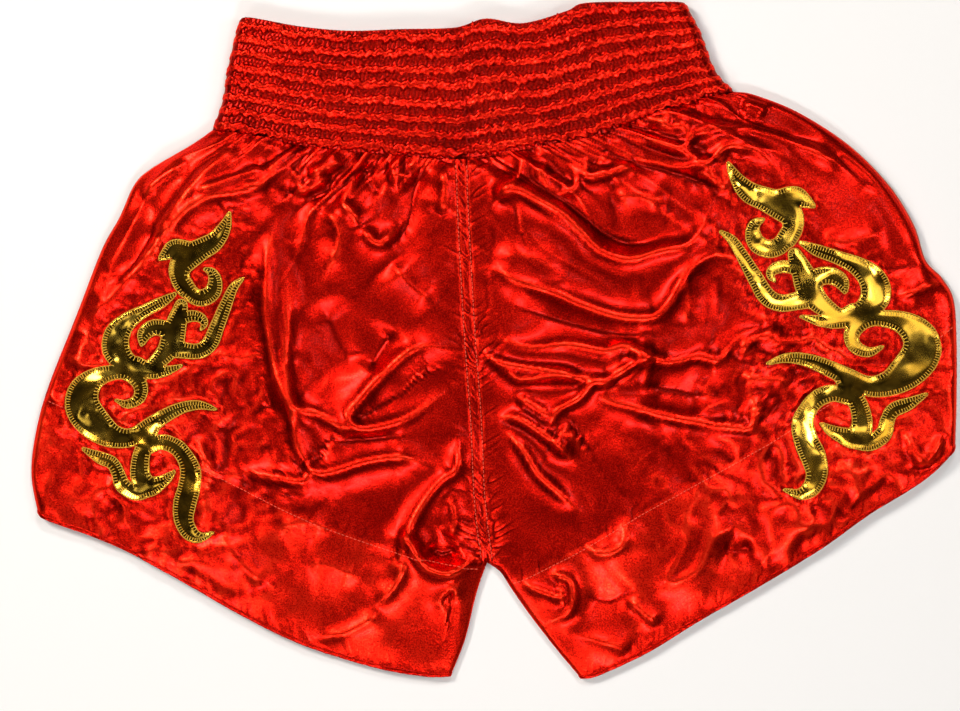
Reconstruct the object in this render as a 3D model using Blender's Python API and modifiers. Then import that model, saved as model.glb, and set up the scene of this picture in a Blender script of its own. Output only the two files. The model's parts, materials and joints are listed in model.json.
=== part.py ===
"""Boxing shorts lying flat, front up: satin panels, a shirred elastic waistband, wide leg
bands, rolled hems and foil flame appliques on both side panels.

Frame: +X to the right of the front, +Y towards the waist, +Z up, origin on the table under
the middle of the garment.  Plan outlines are in millimetres; objects are built in metres.
"""
import math

import bmesh
import bpy
import numpy as np

MM = 0.001

# ---- driving dimensions, in millimetres ------------------------------------------------
CLOTH = 0.6                # thickness of a doubled satin layer
HEM_CLOTH = 1.6            # the rolled hem is cloth folded three times
ELASTIC = 0.6              # thickness of a woven elastic
FOIL = 0.5                 # thickness of a foil applique
GAP = 0.4                  # clearance left along every seam line
HEM_GAP = 1.0              # the same, between a leg band and its thicker hem
FOIL_LIFT = 0.35           # clearance between a foil and the panel under it

FOLD_RADIUS = 8.0          # plan width over which the front rolls down to the back
LOFT_AT_ORIGIN = 14.9      # height of the front layer over the back layer at y = 0
LOFT_SLOPE = 0.0213        # how much that height grows per millimetre towards the waist

CROTCH_AT = 0.77           # share of the inner edge that is centre seam, above the crotch
HEM_WIDTH = 5.0
LEG_LENGTH = 380.0         # waist seam to hem, used to turn millimetres into shares

ELASTIC_COUNT = 8
ELASTIC_WIDTH = 7.0
BAND_HEIGHT = 85.0
CASING_INSET = 3.0         # distance from the casing's outer wall to its inner wall
ELASTIC_INSET = 1.5

# ---- how finely the cloth is divided ---------------------------------------------------
FRONT_ROWS = 6             # down a front panel, above the turn at the crotch
FRONT_COLUMNS = 7          # across a front panel, outside its rolled edge
BACK_ROWS = 5
BACK_COLUMNS = 8
SIDE_ROWS = 12
SIDE_FRONT_COLUMNS = 5     # across a side panel's front, outside its fold
SIDE_BACK_COLUMNS = 6
EDGE_TURNS = 4             # round the rolled inner edge of a front panel
SIDE_TURNS = 6             # round the fold of a side panel
LEG_TURNS = 5              # round the folds of a leg band
LEG_ROWS = 4
LEG_FRONT_COLUMNS = 10
LEG_BACK_COLUMNS = 12
CASING_TURNS = 5           # round the folds of the waistband
CASING_FRONT_COLUMNS = 14
CASING_BACK_COLUMNS = 16
TOP_TURNS = 4              # over the top fold of the casing
WALL_ROWS = 7              # rows of points up each wall of the casing

# Where across a half its seams and widths are read, by u.
PANEL_MIDDLE = 0.7
SIDE_MIDDLE = 0.2

# ---- plan outlines ---------------------------------------------------------------------
CENTRE_WAIST = (-22.0, 122.5)
CROTCH = (-4.0, -149.5)
LEFT_WAIST_CORNER = (-190.0, 143.0)
RIGHT_WAIST_CORNER = (163.0, 169.0)

CENTRE_SEAM = [CENTRE_WAIST, (-19, 62), (-15.5, 1), (-11.5, -53), (-9, -107), CROTCH]

LEFT = {
    "fold": [LEFT_WAIST_CORNER, (-204.5, 133), (-231.5, 117), (-243, 106), (-253, 84), (-265, 62),
             (-282, 18), (-302, -33), (-310.5, -66.5), (-312.5, -92), (-308, -117)],
    "waist": [LEFT_WAIST_CORNER, (-147, 135), (-106, 129), (-50, 124.5), CENTRE_WAIST],
    "hem": [(-308, -117), (-300, -121.5), (-258.5, -137), (-218, -158), (-171, -185),
            (-130, -205), (-83, -220), (-49, -226.5), (-29, -227)],
    "inner_leg": [CROTCH, (-8, -160), (-12.5, -175), (-19, -201.5), (-29, -227)],
    "side_seam": (0.24, 0.44),
    "band_seam": (0.727, 0.050),
}
RIGHT = {
    "fold": [RIGHT_WAIST_CORNER, (177, 167), (207, 155), (241, 133), (268, 106), (285, 79),
             (293, 55), (304, 43), (312, 28), (314, 0), (314, -40), (313, -73)],
    "waist": [RIGHT_WAIST_CORNER, (140, 163), (110, 153), (86, 144), (59, 136), (32, 131),
              (-2, 126), CENTRE_WAIST],
    "hem": [(313, -73), (292, -93.5), (254.5, -117), (221, -141), (180, -166), (140, -189),
            (106, -210), (72, -226), (60, -228.5)],
    "inner_leg": [CROTCH, (5, -156), (13, -168), (25, -185), (42, -207), (60, -228.5)],
    "side_seam": (0.17, 0.387),
    "band_seam": (0.724, 0.086),
}
BAND_LEFT_EDGE = [LEFT_WAIST_CORNER, (-183, 163), (-180, 182), (-176, 200), (-172, 216)]
BAND_RIGHT_EDGE = [RIGHT_WAIST_CORNER, (150.5, 183), (140, 210), (130, 228.5)]
BAND_TOP = [(-172, 216), (-164, 218), (-130, 212), (-97, 209), (-63, 210), (-26, 211), (-5, 217),
            (20, 214), (49, 222), (62, 227.5), (100, 228.5), (130, 228.5)]

# Flame strokes of the applique: x, y and half-width of each point, measured from the top tip.
UPPER_FLAME = {
    "blade": [(0, 0, .3), (5.4, -10.8, 4), (14.9, -20.3, 6.4), (25.7, -25, 7.4), (36.5, -29.7, 8.8),
              (43.9, -36.5, 7.4), (44.6, -45.2, 6.1), (41.9, -52.7, 4.7)],
    "leaf": [(36.5, -25.7, 6.8), (45.9, -23, 6.1), (52.7, -26.3, 4), (60.1, -30.4, .3)],
    "curl": [(42.5, -47, 5.4), (36.5, -56, 5.4), (28.4, -58.7, 5.4), (20.3, -54.7, 5.4),
             (17.6, -47.3, 4.4), (19.6, -41.2, 2.7), (25.7, -38.5, .5)],
}
LOWER_SCROLL = {
    "crest": [(49, -54, .7), (60.8, -59.4, 3.4), (75.6, -64.8, 4), (89.1, -70.9, 6),
              (98.6, -79.7, 8.8), (100.6, -89.8, 9.5), (94.5, -98.6, 7.4), (82.4, -105.3, 5.4),
              (70.9, -108, 4)],
    "stem": [(46, -62.5, 4.2), (51.3, -74.3, 6.8), (55.4, -85.1, 8.1), (60.8, -93.2, 6.8),
             (68.9, -99.9, 5.4), (78.3, -105.3, 4)],
    "inner_curl": [(57.4, -81, 6.1), (63.5, -77, 5.4), (71.6, -77, 5.1), (77.6, -81, 4.4),
                   (80.3, -88.4, .7)],
    "spur": [(46, -71.5, 3.6), (38, -70.5, 3.6), (31.5, -72.5, 3.0), (29.5, -76.5, 2.0),
             (33.1, -80.6, .5)],
    "ribbon": [(56.7, -91.8, 6.1), (47.3, -93.8, 5.4), (36.5, -95.2, 5.1), (27, -90.5, 5.4),
               (18.9, -77.6, 4.7), (10.1, -62.8, 3.7), (3.4, -52.7, 2.7), (-5.4, -46.6, .4)],
    "small_leaf": [(85.1, -101.3, 5.4), (75.6, -106, 4.4), (64.1, -107.3, 3.4), (49.3, -104, .4)],
    "crescent": [(106, -124.2, .5), (95.9, -128.3, 2.7), (86.4, -124.2, 4), (84.4, -116.1, 4.7),
                 (90.5, -108, 5.4), (101.3, -105.3, 4.7), (118.1, -108, 6.8), (129.6, -116.8, 10.5),
                 (131.6, -128.3, 12.5), (122.9, -140.4, 11.5), (110, -149.2, 8.1),
                 (95.9, -151.2, 6.1), (81, -144.5, 5.4), (66.2, -137.7, 4.7), (52.7, -133, 3.7),
                 (39.2, -132.3, 2.7), (26.3, -136.4, .4)],
    "hook": [(78.3, -147.2, 4), (86.4, -158, 5.4), (91.1, -168.8, 6.1), (91.8, -179.6, 6.8),
             (86.4, -186.3, 6.8), (77.6, -184.3, 4.7), (70.2, -180.9, 3), (63.5, -176.2, .5)],
    "tail": [(82.4, -159.3, 4), (72.9, -155.9, 5.1), (62.1, -159.3, 5.4), (54.7, -167.4, 5.7),
             (51.3, -177.5, 7.1), (54, -189, 7.8), (58.7, -199.8, 8.1), (60.8, -210.6, 6.8),
             (56.7, -220.1, 5.4), (48.6, -224.1, 3), (37.8, -220.7, .4)],
    "low_leaf": [(86.4, -187.7, 5.4), (97.2, -189.7, 5.1), (106.7, -183.6, 5.1),
                 (109.4, -174.2, 4.4), (113.4, -167.4, 4.4), (122.9, -163.4, 4),
                 (136.4, -155.9, .4)],
}
# Each applique's top tip, and how the strokes' x and y directions lie on that side panel.
FOIL_PLACES = {
    "right": {"tip": (157.5, 121.0), "x_axis": (1.0, 0.0), "y_axis": (0.0, 1.0)},
    "left": {"tip": (-176.9, 88.1), "x_axis": (-0.85, -0.063), "y_axis": (-0.094, 0.971)},
}


class Curve:
    """A smooth curve through plan points, read by the share of its length."""

    SAMPLES_PER_SPAN = 10

    def __init__(self, points):
        pts = np.array(points, float)
        padded = np.vstack([2 * pts[0] - pts[1], pts, 2 * pts[-1] - pts[-2]])
        samples = []
        for start in range(len(pts) - 1):
            a, b, c, d = padded[start:start + 4]
            for t in np.linspace(0, 1, self.SAMPLES_PER_SPAN, endpoint=False):
                samples.append(0.5 * (2 * b + (c - a) * t + (2 * a - 5 * b + 4 * c - d) * t ** 2
                                      + (3 * b - 3 * c + d - a) * t ** 3))
        samples.append(pts[-1])
        self.samples = np.array(samples)
        steps = np.linalg.norm(np.diff(self.samples[:, :2], axis=0), axis=1)
        self.share = np.concatenate([[0], np.cumsum(steps)]) / steps.sum()

    def at(self, share):
        return np.array([np.interp(share, self.share, axis) for axis in self.samples.T])


class Half:
    """One half of the shorts: u runs from the outer fold (0) to the centre (1), v from the
    waist seam (0) to the hem (1)."""

    def __init__(self, outline):
        self.fold = Curve(outline["fold"])
        self.waist = Curve(outline["waist"])
        self.hem = Curve(outline["hem"])
        self.centre_seam = Curve(CENTRE_SEAM)
        self.inner_leg = Curve(outline["inner_leg"])
        self.side_seam_at_waist, self.side_seam_spread = outline["side_seam"]
        self.band_seam_at_fold, self.band_seam_rise = outline["band_seam"]

    def inner_edge(self, v):
        if v <= CROTCH_AT:
            return self.centre_seam.at(v / CROTCH_AT)
        return self.inner_leg.at((v - CROTCH_AT) / (1 - CROTCH_AT))

    def plan(self, u, v):
        """Coons patch between the four edges."""
        across = (1 - u) * self.fold.at(v) + u * self.inner_edge(v)
        along = (1 - v) * self.waist.at(u) + v * self.hem.at(u)
        corners = ((1 - u) * (1 - v) * self.fold.at(0) + u * (1 - v) * self.inner_edge(0)
                   + (1 - u) * v * self.fold.at(1) + u * v * self.inner_edge(1))
        return across + along - corners

    def width(self, v):
        return np.linalg.norm(self.inner_edge(v) - self.fold.at(v))

    def side_seam(self, share):
        """u of the side seam at a share of the way from the waist seam to the band seam."""
        u = self.side_seam_at_waist
        for _ in range(4):
            u = self.side_seam_at_waist + self.side_seam_spread * share * self.band_seam(u)
        return u

    def row(self, share, u):
        """v at that share of the way to the band seam, with both ends a little short of it."""
        seam_gap = GAP / LEG_LENGTH
        return seam_gap + share * (self.band_seam(u) - 2 * seam_gap)

    def band_seam(self, u):
        return self.band_seam_at_fold + self.band_seam_rise * u

    def point(self, u, v, front, cloth=CLOTH):
        """Middle of the cloth, in millimetres."""
        spot = self.plan(u, v)
        base = cloth / 2
        if not front:
            return (*spot, base)
        fold_distance = np.linalg.norm(spot - self.fold.at(v))
        inner_distance = np.linalg.norm(spot - self.inner_edge(max(v, CROTCH_AT)))
        rise = rolled(min(fold_distance, inner_distance))
        return (*spot, base + loft(spot[1]) * rise)


def loft(y):
    """Height of the front layer over the back layer."""
    return LOFT_AT_ORIGIN + LOFT_SLOPE * y


def rolled(distance):
    """Share of the full loft reached at a distance inside a folded edge."""
    inside = min(distance / FOLD_RADIUS, 1.0)
    return math.sqrt(max(0.0, 1 - (1 - inside) ** 2))


def roll_stations(count):
    """Shares of FOLD_RADIUS at even angles round the fold, from its outside to its inside."""
    return [1 - math.cos(math.pi / 2 * i / count) for i in range(count + 1)]


def spread(start, end, count):
    """Evenly spaced values without the end."""
    return [start + (end - start) * i / count for i in range(count)]


# ---- mesh helpers ----------------------------------------------------------------------
def material(name, colour, roughness, metallic=0.0):
    made = bpy.data.materials.new(name)
    made.use_nodes = True
    shader = made.node_tree.nodes["Principled BSDF"]
    shader.inputs["Base Color"].default_value = (*colour, 1.0)
    shader.inputs["Roughness"].default_value = roughness
    shader.inputs["Metallic"].default_value = metallic
    return made


def mapped_grid(name, columns, rows, place, ring=False):
    """A grid whose vertex (column, row) goes to place(column, row); a ring's ends are welded."""
    grid = bmesh.new()
    bmesh.ops.create_grid(grid, x_segments=columns, y_segments=rows, size=0.5)
    for vert in grid.verts:
        column = round((vert.co.x + 0.5) * columns)
        row = round((vert.co.y + 0.5) * rows)
        vert.co = [value * MM for value in place(column, row)]
    if ring:
        bmesh.ops.remove_doubles(grid, verts=grid.verts, dist=0.00001)
    mesh = bpy.data.meshes.new(name)
    grid.to_mesh(mesh)
    grid.free()
    mesh.shade_smooth()
    return mesh


def cloth_object(name, mesh, look, thickness, collection, parent):
    """A sheet given its thickness, half to each side."""
    mesh.materials.append(look)
    piece = bpy.data.objects.new(name, mesh)
    collection.objects.link(piece)
    piece.parent = parent
    solidify = piece.modifiers.new("thickness", "SOLIDIFY")
    solidify.thickness = thickness * MM
    solidify.offset = 0.0
    return piece


# ---- panels ----------------------------------------------------------------------------
def panel_rows(half, rows):
    """Shares of the way from the waist seam to the band seam, closer together at the crotch."""
    crotch = CROTCH_AT / half.band_seam(1.0)
    roll = FOLD_RADIUS / LEG_LENGTH
    above = spread(0.0, crotch - roll, rows)
    turning = [crotch - roll * share for share in roll_stations(EDGE_TURNS)[::-1]]
    return above + turning + [1.0]


def front_panel(half, name, look, collection, parent):
    rows = panel_rows(half, FRONT_ROWS)

    def columns_at(share):
        width = half.width(share * half.band_seam(PANEL_MIDDLE))
        roll = FOLD_RADIUS / width
        start = half.side_seam(share) + GAP / width
        corner = [1 - roll * turn for turn in roll_stations(EDGE_TURNS)[::-1]]
        return spread(start, corner[0], FRONT_COLUMNS) + corner[:-1] + [1 - GAP / width]

    count = len(columns_at(0.5)) - 1

    def place(column, row):
        u = columns_at(rows[row])[column]
        return half.point(u, half.row(rows[row], u), front=True)

    mesh = mapped_grid(name, count, len(rows) - 1, place)
    return cloth_object(name, mesh, look, CLOTH, collection, parent)


def back_panel(half, name, look, collection, parent):
    rows = panel_rows(half, BACK_ROWS)

    def place(column, row):
        share = rows[row]
        gap = GAP / half.width(share * half.band_seam(PANEL_MIDDLE))
        start = half.side_seam(share) + gap
        u = start + (1 - gap - start) * column / BACK_COLUMNS
        return half.point(u, half.row(share, u), front=False)

    mesh = mapped_grid(name, BACK_COLUMNS, len(rows) - 1, place)
    return cloth_object(name, mesh, look, CLOTH, collection, parent)


def side_panel(half, name, look, collection, parent):
    """Runs from the front side seam round the outer fold to the back side seam."""

    def stations(share):
        roll = FOLD_RADIUS / half.width(share * half.band_seam(SIDE_MIDDLE))
        seam = half.side_seam(share)
        front = [(u, True) for u in spread(seam, roll, SIDE_FRONT_COLUMNS)]
        fold = [(roll * turn, True) for turn in roll_stations(SIDE_TURNS)[::-1]]
        back = [(seam * i / SIDE_BACK_COLUMNS, False) for i in range(1, SIDE_BACK_COLUMNS + 1)]
        return front + fold + back

    count = len(stations(0.5)) - 1

    def place(column, row):
        u, front = stations(row / SIDE_ROWS)[column]
        return half.point(u, half.row(row / SIDE_ROWS, u), front)

    mesh = mapped_grid(name, count, SIDE_ROWS, place)
    return cloth_object(name, mesh, look, CLOTH, collection, parent)


def leg_ring(half, name, look, cloth, rows, limits, collection, parent):
    """A closed ring round the leg; limits(u) gives the shares of its upper and lower edge."""

    def stations(v):
        roll = FOLD_RADIUS / half.width(v)
        outer = [(roll * share, True) for share in roll_stations(LEG_TURNS)]
        inner = [(1 - roll * share, True) for share in roll_stations(LEG_TURNS)[::-1]]
        front = [(u, True) for u in spread(roll, 1 - roll, LEG_FRONT_COLUMNS)[1:]]
        back = [(1 - i / LEG_BACK_COLUMNS, False) for i in range(1, LEG_BACK_COLUMNS + 1)]
        return outer + front + inner + back

    count = len(stations(0.9)) - 1

    def place(column, row):
        top, bottom = limits(0.5)
        u, front = stations(top + (bottom - top) * row / rows)[column]
        top, bottom = limits(u)
        return half.point(u, top + (bottom - top) * row / rows, front, cloth)

    mesh = mapped_grid(name, count, rows, place, ring=True)
    return cloth_object(name, mesh, look, cloth, collection, parent)


def leg_band(half, name, look, collection, parent):
    seam_gap = GAP / LEG_LENGTH
    hem = HEM_WIDTH / LEG_LENGTH

    def limits(u):
        return half.band_seam(u) + seam_gap, 1 - hem

    return leg_ring(half, name, look, CLOTH, LEG_ROWS, limits, collection, parent)


def leg_hem(half, name, look, collection, parent):
    def limits(_):
        return 1 - (HEM_WIDTH - HEM_GAP) / LEG_LENGTH, 1.0

    return leg_ring(half, name, look, HEM_CLOTH, 1, limits, collection, parent)


# ---- waistband -------------------------------------------------------------------------
class Waistband:
    """a runs along the band from its left end (0) to its right end (1), w from the waist
    seam (0) to the top edge (1)."""

    def __init__(self, left, right):
        self.left_waist = left.waist
        self.right_waist = right.waist
        self.left_edge = Curve(BAND_LEFT_EDGE)
        self.right_edge = Curve(BAND_RIGHT_EDGE)
        self.top = Curve(BAND_TOP)
        left_length = LEFT_WAIST_CORNER[0] - CENTRE_WAIST[0]
        right_length = CENTRE_WAIST[0] - RIGHT_WAIST_CORNER[0]
        self.centre = left_length / (left_length + right_length)

    def seam(self, a):
        if a <= self.centre:
            return self.left_waist.at(a / self.centre)
        return self.right_waist.at((1 - a) / (1 - self.centre))

    def plan(self, a, w):
        across = (1 - a) * self.left_edge.at(w) + a * self.right_edge.at(w)
        along = (1 - w) * self.seam(a) + w * self.top.at(a)
        corners = ((1 - a) * (1 - w) * self.seam(0) + a * (1 - w) * self.seam(1)
                   + (1 - a) * w * self.top.at(0) + a * w * self.top.at(1))
        return across + along - corners

    def width(self, w):
        return np.linalg.norm(self.right_edge.at(w) - self.left_edge.at(w))

    def stations(self, w, inset):
        """Places round the band: along, front or back, and how far the corner has turned."""
        width = self.width(w)
        roll = (FOLD_RADIUS - inset) / width
        start = inset / width
        turns = [i / CASING_TURNS for i in range(CASING_TURNS + 1)]
        left = [(start + roll * (1 - math.cos(math.pi / 2 * t)), math.sin(math.pi / 2 * t))
                for t in turns]
        right = [(1 - a, turn) for a, turn in left[::-1]]
        front = [(a, 1.0) for a in spread(left[-1][0], right[0][0], CASING_FRONT_COLUMNS)[1:]]
        back = [(a, 0.0) for a in np.linspace(1 - start, start, CASING_BACK_COLUMNS + 1)[1:]]
        return left + front + right + back

    def point(self, a, w, turn, inset):
        spot = self.plan(a, w)
        height = loft(spot[1]) - 2 * inset
        return (*spot, CLOTH / 2 + inset + height * turn)


def waistband_casing(band, name, look, collection, parent):
    """One strip of satin folded over at the top: outer wall, top fold and inner wall."""
    turned = [math.pi / TOP_TURNS * i for i in range(1, TOP_TURNS)]
    fold_rise = CASING_INSET / 2
    fold_at = 1 - fold_rise / BAND_HEIGHT
    outer = [(w, 0.0) for w in np.linspace(GAP / BAND_HEIGHT, fold_at, WALL_ROWS)]
    over = [(fold_at + fold_rise * math.sin(t) / BAND_HEIGHT, fold_rise * (1 - math.cos(t)))
            for t in turned]
    inner = [(w, CASING_INSET) for w in np.linspace(fold_at, GAP / BAND_HEIGHT, WALL_ROWS)]
    rows = outer + over + inner
    count = len(band.stations(0.5, 0.0)) - 1

    def place(column, row):
        w, inset = rows[row]
        a, turn = band.stations(w, inset)[column]
        return band.point(a, w, turn, inset)

    mesh = mapped_grid(name, count, len(rows) - 1, place, ring=True)
    return cloth_object(name, mesh, look, CLOTH, collection, parent)


def elastic(band, index, look, collection, parent):
    """One of the elastics that run side by side inside the casing."""
    name = f"elastic_{index + 1}"
    pitch = 1 / ELASTIC_COUNT
    middle = pitch * (index + 0.5)
    half_width = ELASTIC_WIDTH / 2 / BAND_HEIGHT
    count = len(band.stations(0.5, 0.0)) - 1

    def place(column, row):
        w = middle + half_width * (2 * row - 1)
        a, turn = band.stations(w, ELASTIC_INSET)[column]
        return band.point(a, w, turn, ELASTIC_INSET)

    mesh = mapped_grid(name, count, 1, place, ring=True)
    return cloth_object(name, mesh, look, ELASTIC, collection, parent)


# ---- foil appliques --------------------------------------------------------------------
def stroke_ribbon(name, points, place_on, steps_per_point=2):
    """A flat ribbon along a flame stroke, as wide as the stroke is at each point."""
    line = Curve(points)
    steps = steps_per_point * (len(points) - 1)
    end_step = 0.002

    def place(column, row):
        share = column / steps
        x, y, half_width = line.at(share)
        ahead = line.at(min(share + end_step, 1))[:2] - line.at(max(share - end_step, 0))[:2]
        ahead /= np.linalg.norm(ahead)
        side = half_width * (2 * row - 1)
        return (*place_on(x - ahead[1] * side, y + ahead[0] * side), 0.0)

    return mapped_grid(name, steps, 1, place)


def foil(side, name, strokes, look, collection, cutters, parent):
    """The strokes of one applique joined into a single foil, tilted with the front layer."""
    place = FOIL_PLACES[side]
    x_axis = np.array(place["x_axis"])
    y_axis = np.array(place["y_axis"])

    def place_on(x, y):
        return x_axis * x + y_axis * y

    foil_piece = None
    for stroke, points in strokes.items():
        mesh = stroke_ribbon(f"{name}_{stroke}", points, place_on)
        ribbon = cloth_object(mesh.name, mesh, look, FOIL, cutters, parent)
        tip_x, tip_y = place["tip"]
        height = CLOTH + loft(tip_y) + FOIL_LIFT + FOIL / 2
        ribbon.location = (tip_x * MM, tip_y * MM, height * MM)
        ribbon.rotation_euler.x = math.atan(LOFT_SLOPE)
        if foil_piece is None:
            foil_piece = ribbon
            foil_piece.name = name
            collection.objects.link(foil_piece)
            cutters.objects.unlink(foil_piece)
            continue
        ribbon.hide_render = True
        ribbon.display_type = "WIRE"
        join = foil_piece.modifiers.new(stroke, "BOOLEAN")
        join.operation = "UNION"
        join.solver = "EXACT"
        join.object = ribbon
    return foil_piece


def clear_scene():
    for old in list(bpy.data.objects):
        bpy.data.objects.remove(old, do_unlink=True)


def build():
    clear_scene()
    scene = bpy.context.scene
    garment = bpy.data.collections.new("boxing_shorts")
    joining = bpy.data.collections.new("joining_strokes")
    scene.collection.children.link(garment)
    scene.collection.children.link(joining)
    root = bpy.data.objects.new("boxing_shorts_origin", None)
    garment.objects.link(root)

    satin = material("red_satin", (0.72, 0.02, 0.015), 0.32)
    band_satin = material("red_satin_waistband", (0.66, 0.02, 0.02), 0.36)
    woven = material("white_woven_elastic", (0.85, 0.84, 0.80), 0.8)
    gold = material("gold_foil", (0.95, 0.68, 0.20), 0.12, 1.0)

    halves = {"left": Half(LEFT), "right": Half(RIGHT)}
    for side, half in halves.items():
        front_panel(half, f"front_{side}_panel", satin, garment, root)
        back_panel(half, f"back_{side}_panel", satin, garment, root)
        side_panel(half, f"{side}_side_panel", satin, garment, root)
        leg_band(half, f"{side}_leg_band", satin, garment, root)
        leg_hem(half, f"{side}_leg_hem", satin, garment, root)
        foil(side, f"{side}_upper_flame_foil", UPPER_FLAME, gold, garment, joining, root)
        foil(side, f"{side}_lower_scroll_foil", LOWER_SCROLL, gold, garment, joining, root)

    band = Waistband(halves["left"], halves["right"])
    waistband_casing(band, "waistband_casing", band_satin, garment, root)
    for index in range(ELASTIC_COUNT):
        elastic(band, index, woven, garment, root)


build()
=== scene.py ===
"""Looks of the boxing shorts: simulated satin panels, shirred waistband, stitched foil."""
import json
import math

import bmesh
import bpy
import numpy as np
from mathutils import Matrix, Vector
from mathutils.bvhtree import BVHTree

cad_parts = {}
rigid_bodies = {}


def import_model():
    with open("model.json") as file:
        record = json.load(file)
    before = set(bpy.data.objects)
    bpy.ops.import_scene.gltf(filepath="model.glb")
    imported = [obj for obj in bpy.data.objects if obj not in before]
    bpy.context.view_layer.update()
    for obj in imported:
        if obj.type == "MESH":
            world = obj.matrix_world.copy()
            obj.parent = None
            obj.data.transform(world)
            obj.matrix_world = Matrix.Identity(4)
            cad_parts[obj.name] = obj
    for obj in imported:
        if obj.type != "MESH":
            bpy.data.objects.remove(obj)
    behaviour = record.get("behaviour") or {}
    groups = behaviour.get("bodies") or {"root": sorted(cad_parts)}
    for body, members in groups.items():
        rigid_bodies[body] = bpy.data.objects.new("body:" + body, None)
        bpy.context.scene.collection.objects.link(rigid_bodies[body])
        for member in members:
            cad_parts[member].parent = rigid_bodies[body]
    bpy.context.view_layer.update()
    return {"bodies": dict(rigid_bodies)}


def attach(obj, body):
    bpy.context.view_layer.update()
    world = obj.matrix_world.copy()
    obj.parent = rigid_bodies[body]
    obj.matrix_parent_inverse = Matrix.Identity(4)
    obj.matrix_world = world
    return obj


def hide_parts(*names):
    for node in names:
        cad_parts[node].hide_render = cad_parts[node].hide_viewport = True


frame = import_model()

MM = 0.001
FAR = 1e6                  # stands for the distance of points that are not measured
BODY = next(iter(frame["bodies"]))


# ---- arithmetic ------------------------------------------------------------------------
def norm(vectors):
    return np.linalg.norm(vectors, axis=-1)


def unit(vectors):
    return vectors / (norm(vectors)[..., None] + 1e-9)


def smooth(value):
    value = np.clip(value, 0, 1)
    return value * value * (3 - 2 * value)


def fade(away, reach, power=1):
    """From 1 where away is 0 down towards 0 past a reach."""
    return np.exp(-(away / reach) ** power)


def spline(a, b, c, d, t):
    """Point of a Catmull-Rom curve between b and c."""
    return 0.5 * (2 * b + (c - a) * t + (2 * a - 5 * b + 4 * c - d) * t ** 2
                  + (3 * b - 3 * c + d - a) * t ** 3)


def catmull_rom(points, per_span=12):
    """Points of a smooth curve through the given ones."""
    pts = np.array(points, float)
    padded = np.vstack([2 * pts[0] - pts[1], pts, 2 * pts[-1] - pts[-2]])
    t = np.linspace(0, 1, per_span, endpoint=False)[:, None]
    spans = [spline(*padded[i:i + 4], t) for i in range(len(pts) - 1)]
    return np.vstack(spans + [pts[-1:]])


def coons(u, v, start, end, low, high):
    """Coons patch between four edges: start and end are read by v, low and high by u."""
    p, q = u[..., None], v[..., None]
    zero, one = np.zeros(1), np.ones(1)
    across = (1 - p) * start(v) + p * end(v)
    along = (1 - q) * low(u) + q * high(u)
    corners = ((1 - p) * (1 - q) * start(zero) + p * (1 - q) * end(zero)
               + (1 - p) * q * start(one) + p * q * end(one))
    return across + along - corners


def from_segment(spots, start, step):
    """How far along a segment each spot lies, from 0 to 1, and its distance from it."""
    t = np.clip(((spots - start) @ step) / (step @ step), 0, 1)
    return t, norm(spots - start - t[:, None] * step)


def near_to(plan, line, reach):
    """Which plan points lie in the box round a line, widened by a reach."""
    return ((plan > line.min(axis=0) - reach) & (plan < line.max(axis=0) + reach)).all(axis=-1)


def noise(x, y, seed):
    """Smooth value noise between -1 and 1 at plan points in cells of size 1."""
    def lattice(i, j):
        n = (i * 374761393 + j * 668265263 + seed * 2147483647) & 0xFFFFFFFF
        n = ((n ^ (n >> 13)) * 1274126177) & 0xFFFFFFFF
        return ((n ^ (n >> 16)) & 0xFFFF) / 32767.5 - 1

    x, y = np.broadcast_arrays(np.asarray(x, float), np.asarray(y, float))
    i, j = np.floor(x).astype(np.int64), np.floor(y).astype(np.int64)
    fx, fy = x - i, y - j
    sx, sy = fx * fx * (3 - 2 * fx), fy * fy * (3 - 2 * fy)
    low = lattice(i, j) * (1 - sx) + lattice(i + 1, j) * sx
    high = lattice(i, j + 1) * (1 - sx) + lattice(i + 1, j + 1) * sx
    return low * (1 - sy) + high * sy


def rumple(x, y, scale, seed):
    """Noise without a direction: two lattices, turned and bent against each other."""
    x, y = x / scale, y / scale
    bend = 0.5 * noise(x / 1.7, y / 1.7, seed + 1)
    first = noise(0.83 * x + 0.56 * y + bend, 0.83 * y - 0.56 * x - bend, seed)
    second = noise(1.37 * (0.34 * x - 0.94 * y) - bend,
                   1.37 * (0.94 * x + 0.34 * y) + bend, seed + 2)
    return 0.7 * first + 0.5 * second


def creased(x, y, scale, seed):
    """Crisp crests that run on into each other, with hollows between them."""
    return 1 - 2 * np.hypot(rumple(x, y, scale, seed) + 0.3 * rumple(x, y, scale / 2.1, seed + 3), 0.06)


# ---- plan of the garment, in millimetres -----------------------------------------------
CROTCH_AT = 0.77           # share of the inner edge that is centre seam, above the crotch
CENTRE_WAIST = (-22.0, 122.5)
CROTCH = (-4.0, -149.5)
LEFT_WAIST_CORNER = (-190.0, 143.0)
RIGHT_WAIST_CORNER = (163.0, 169.0)
CENTRE_SEAM = [CENTRE_WAIST, (-19, 62), (-15.5, 1), (-11.5, -53), (-9, -107), CROTCH]

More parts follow.
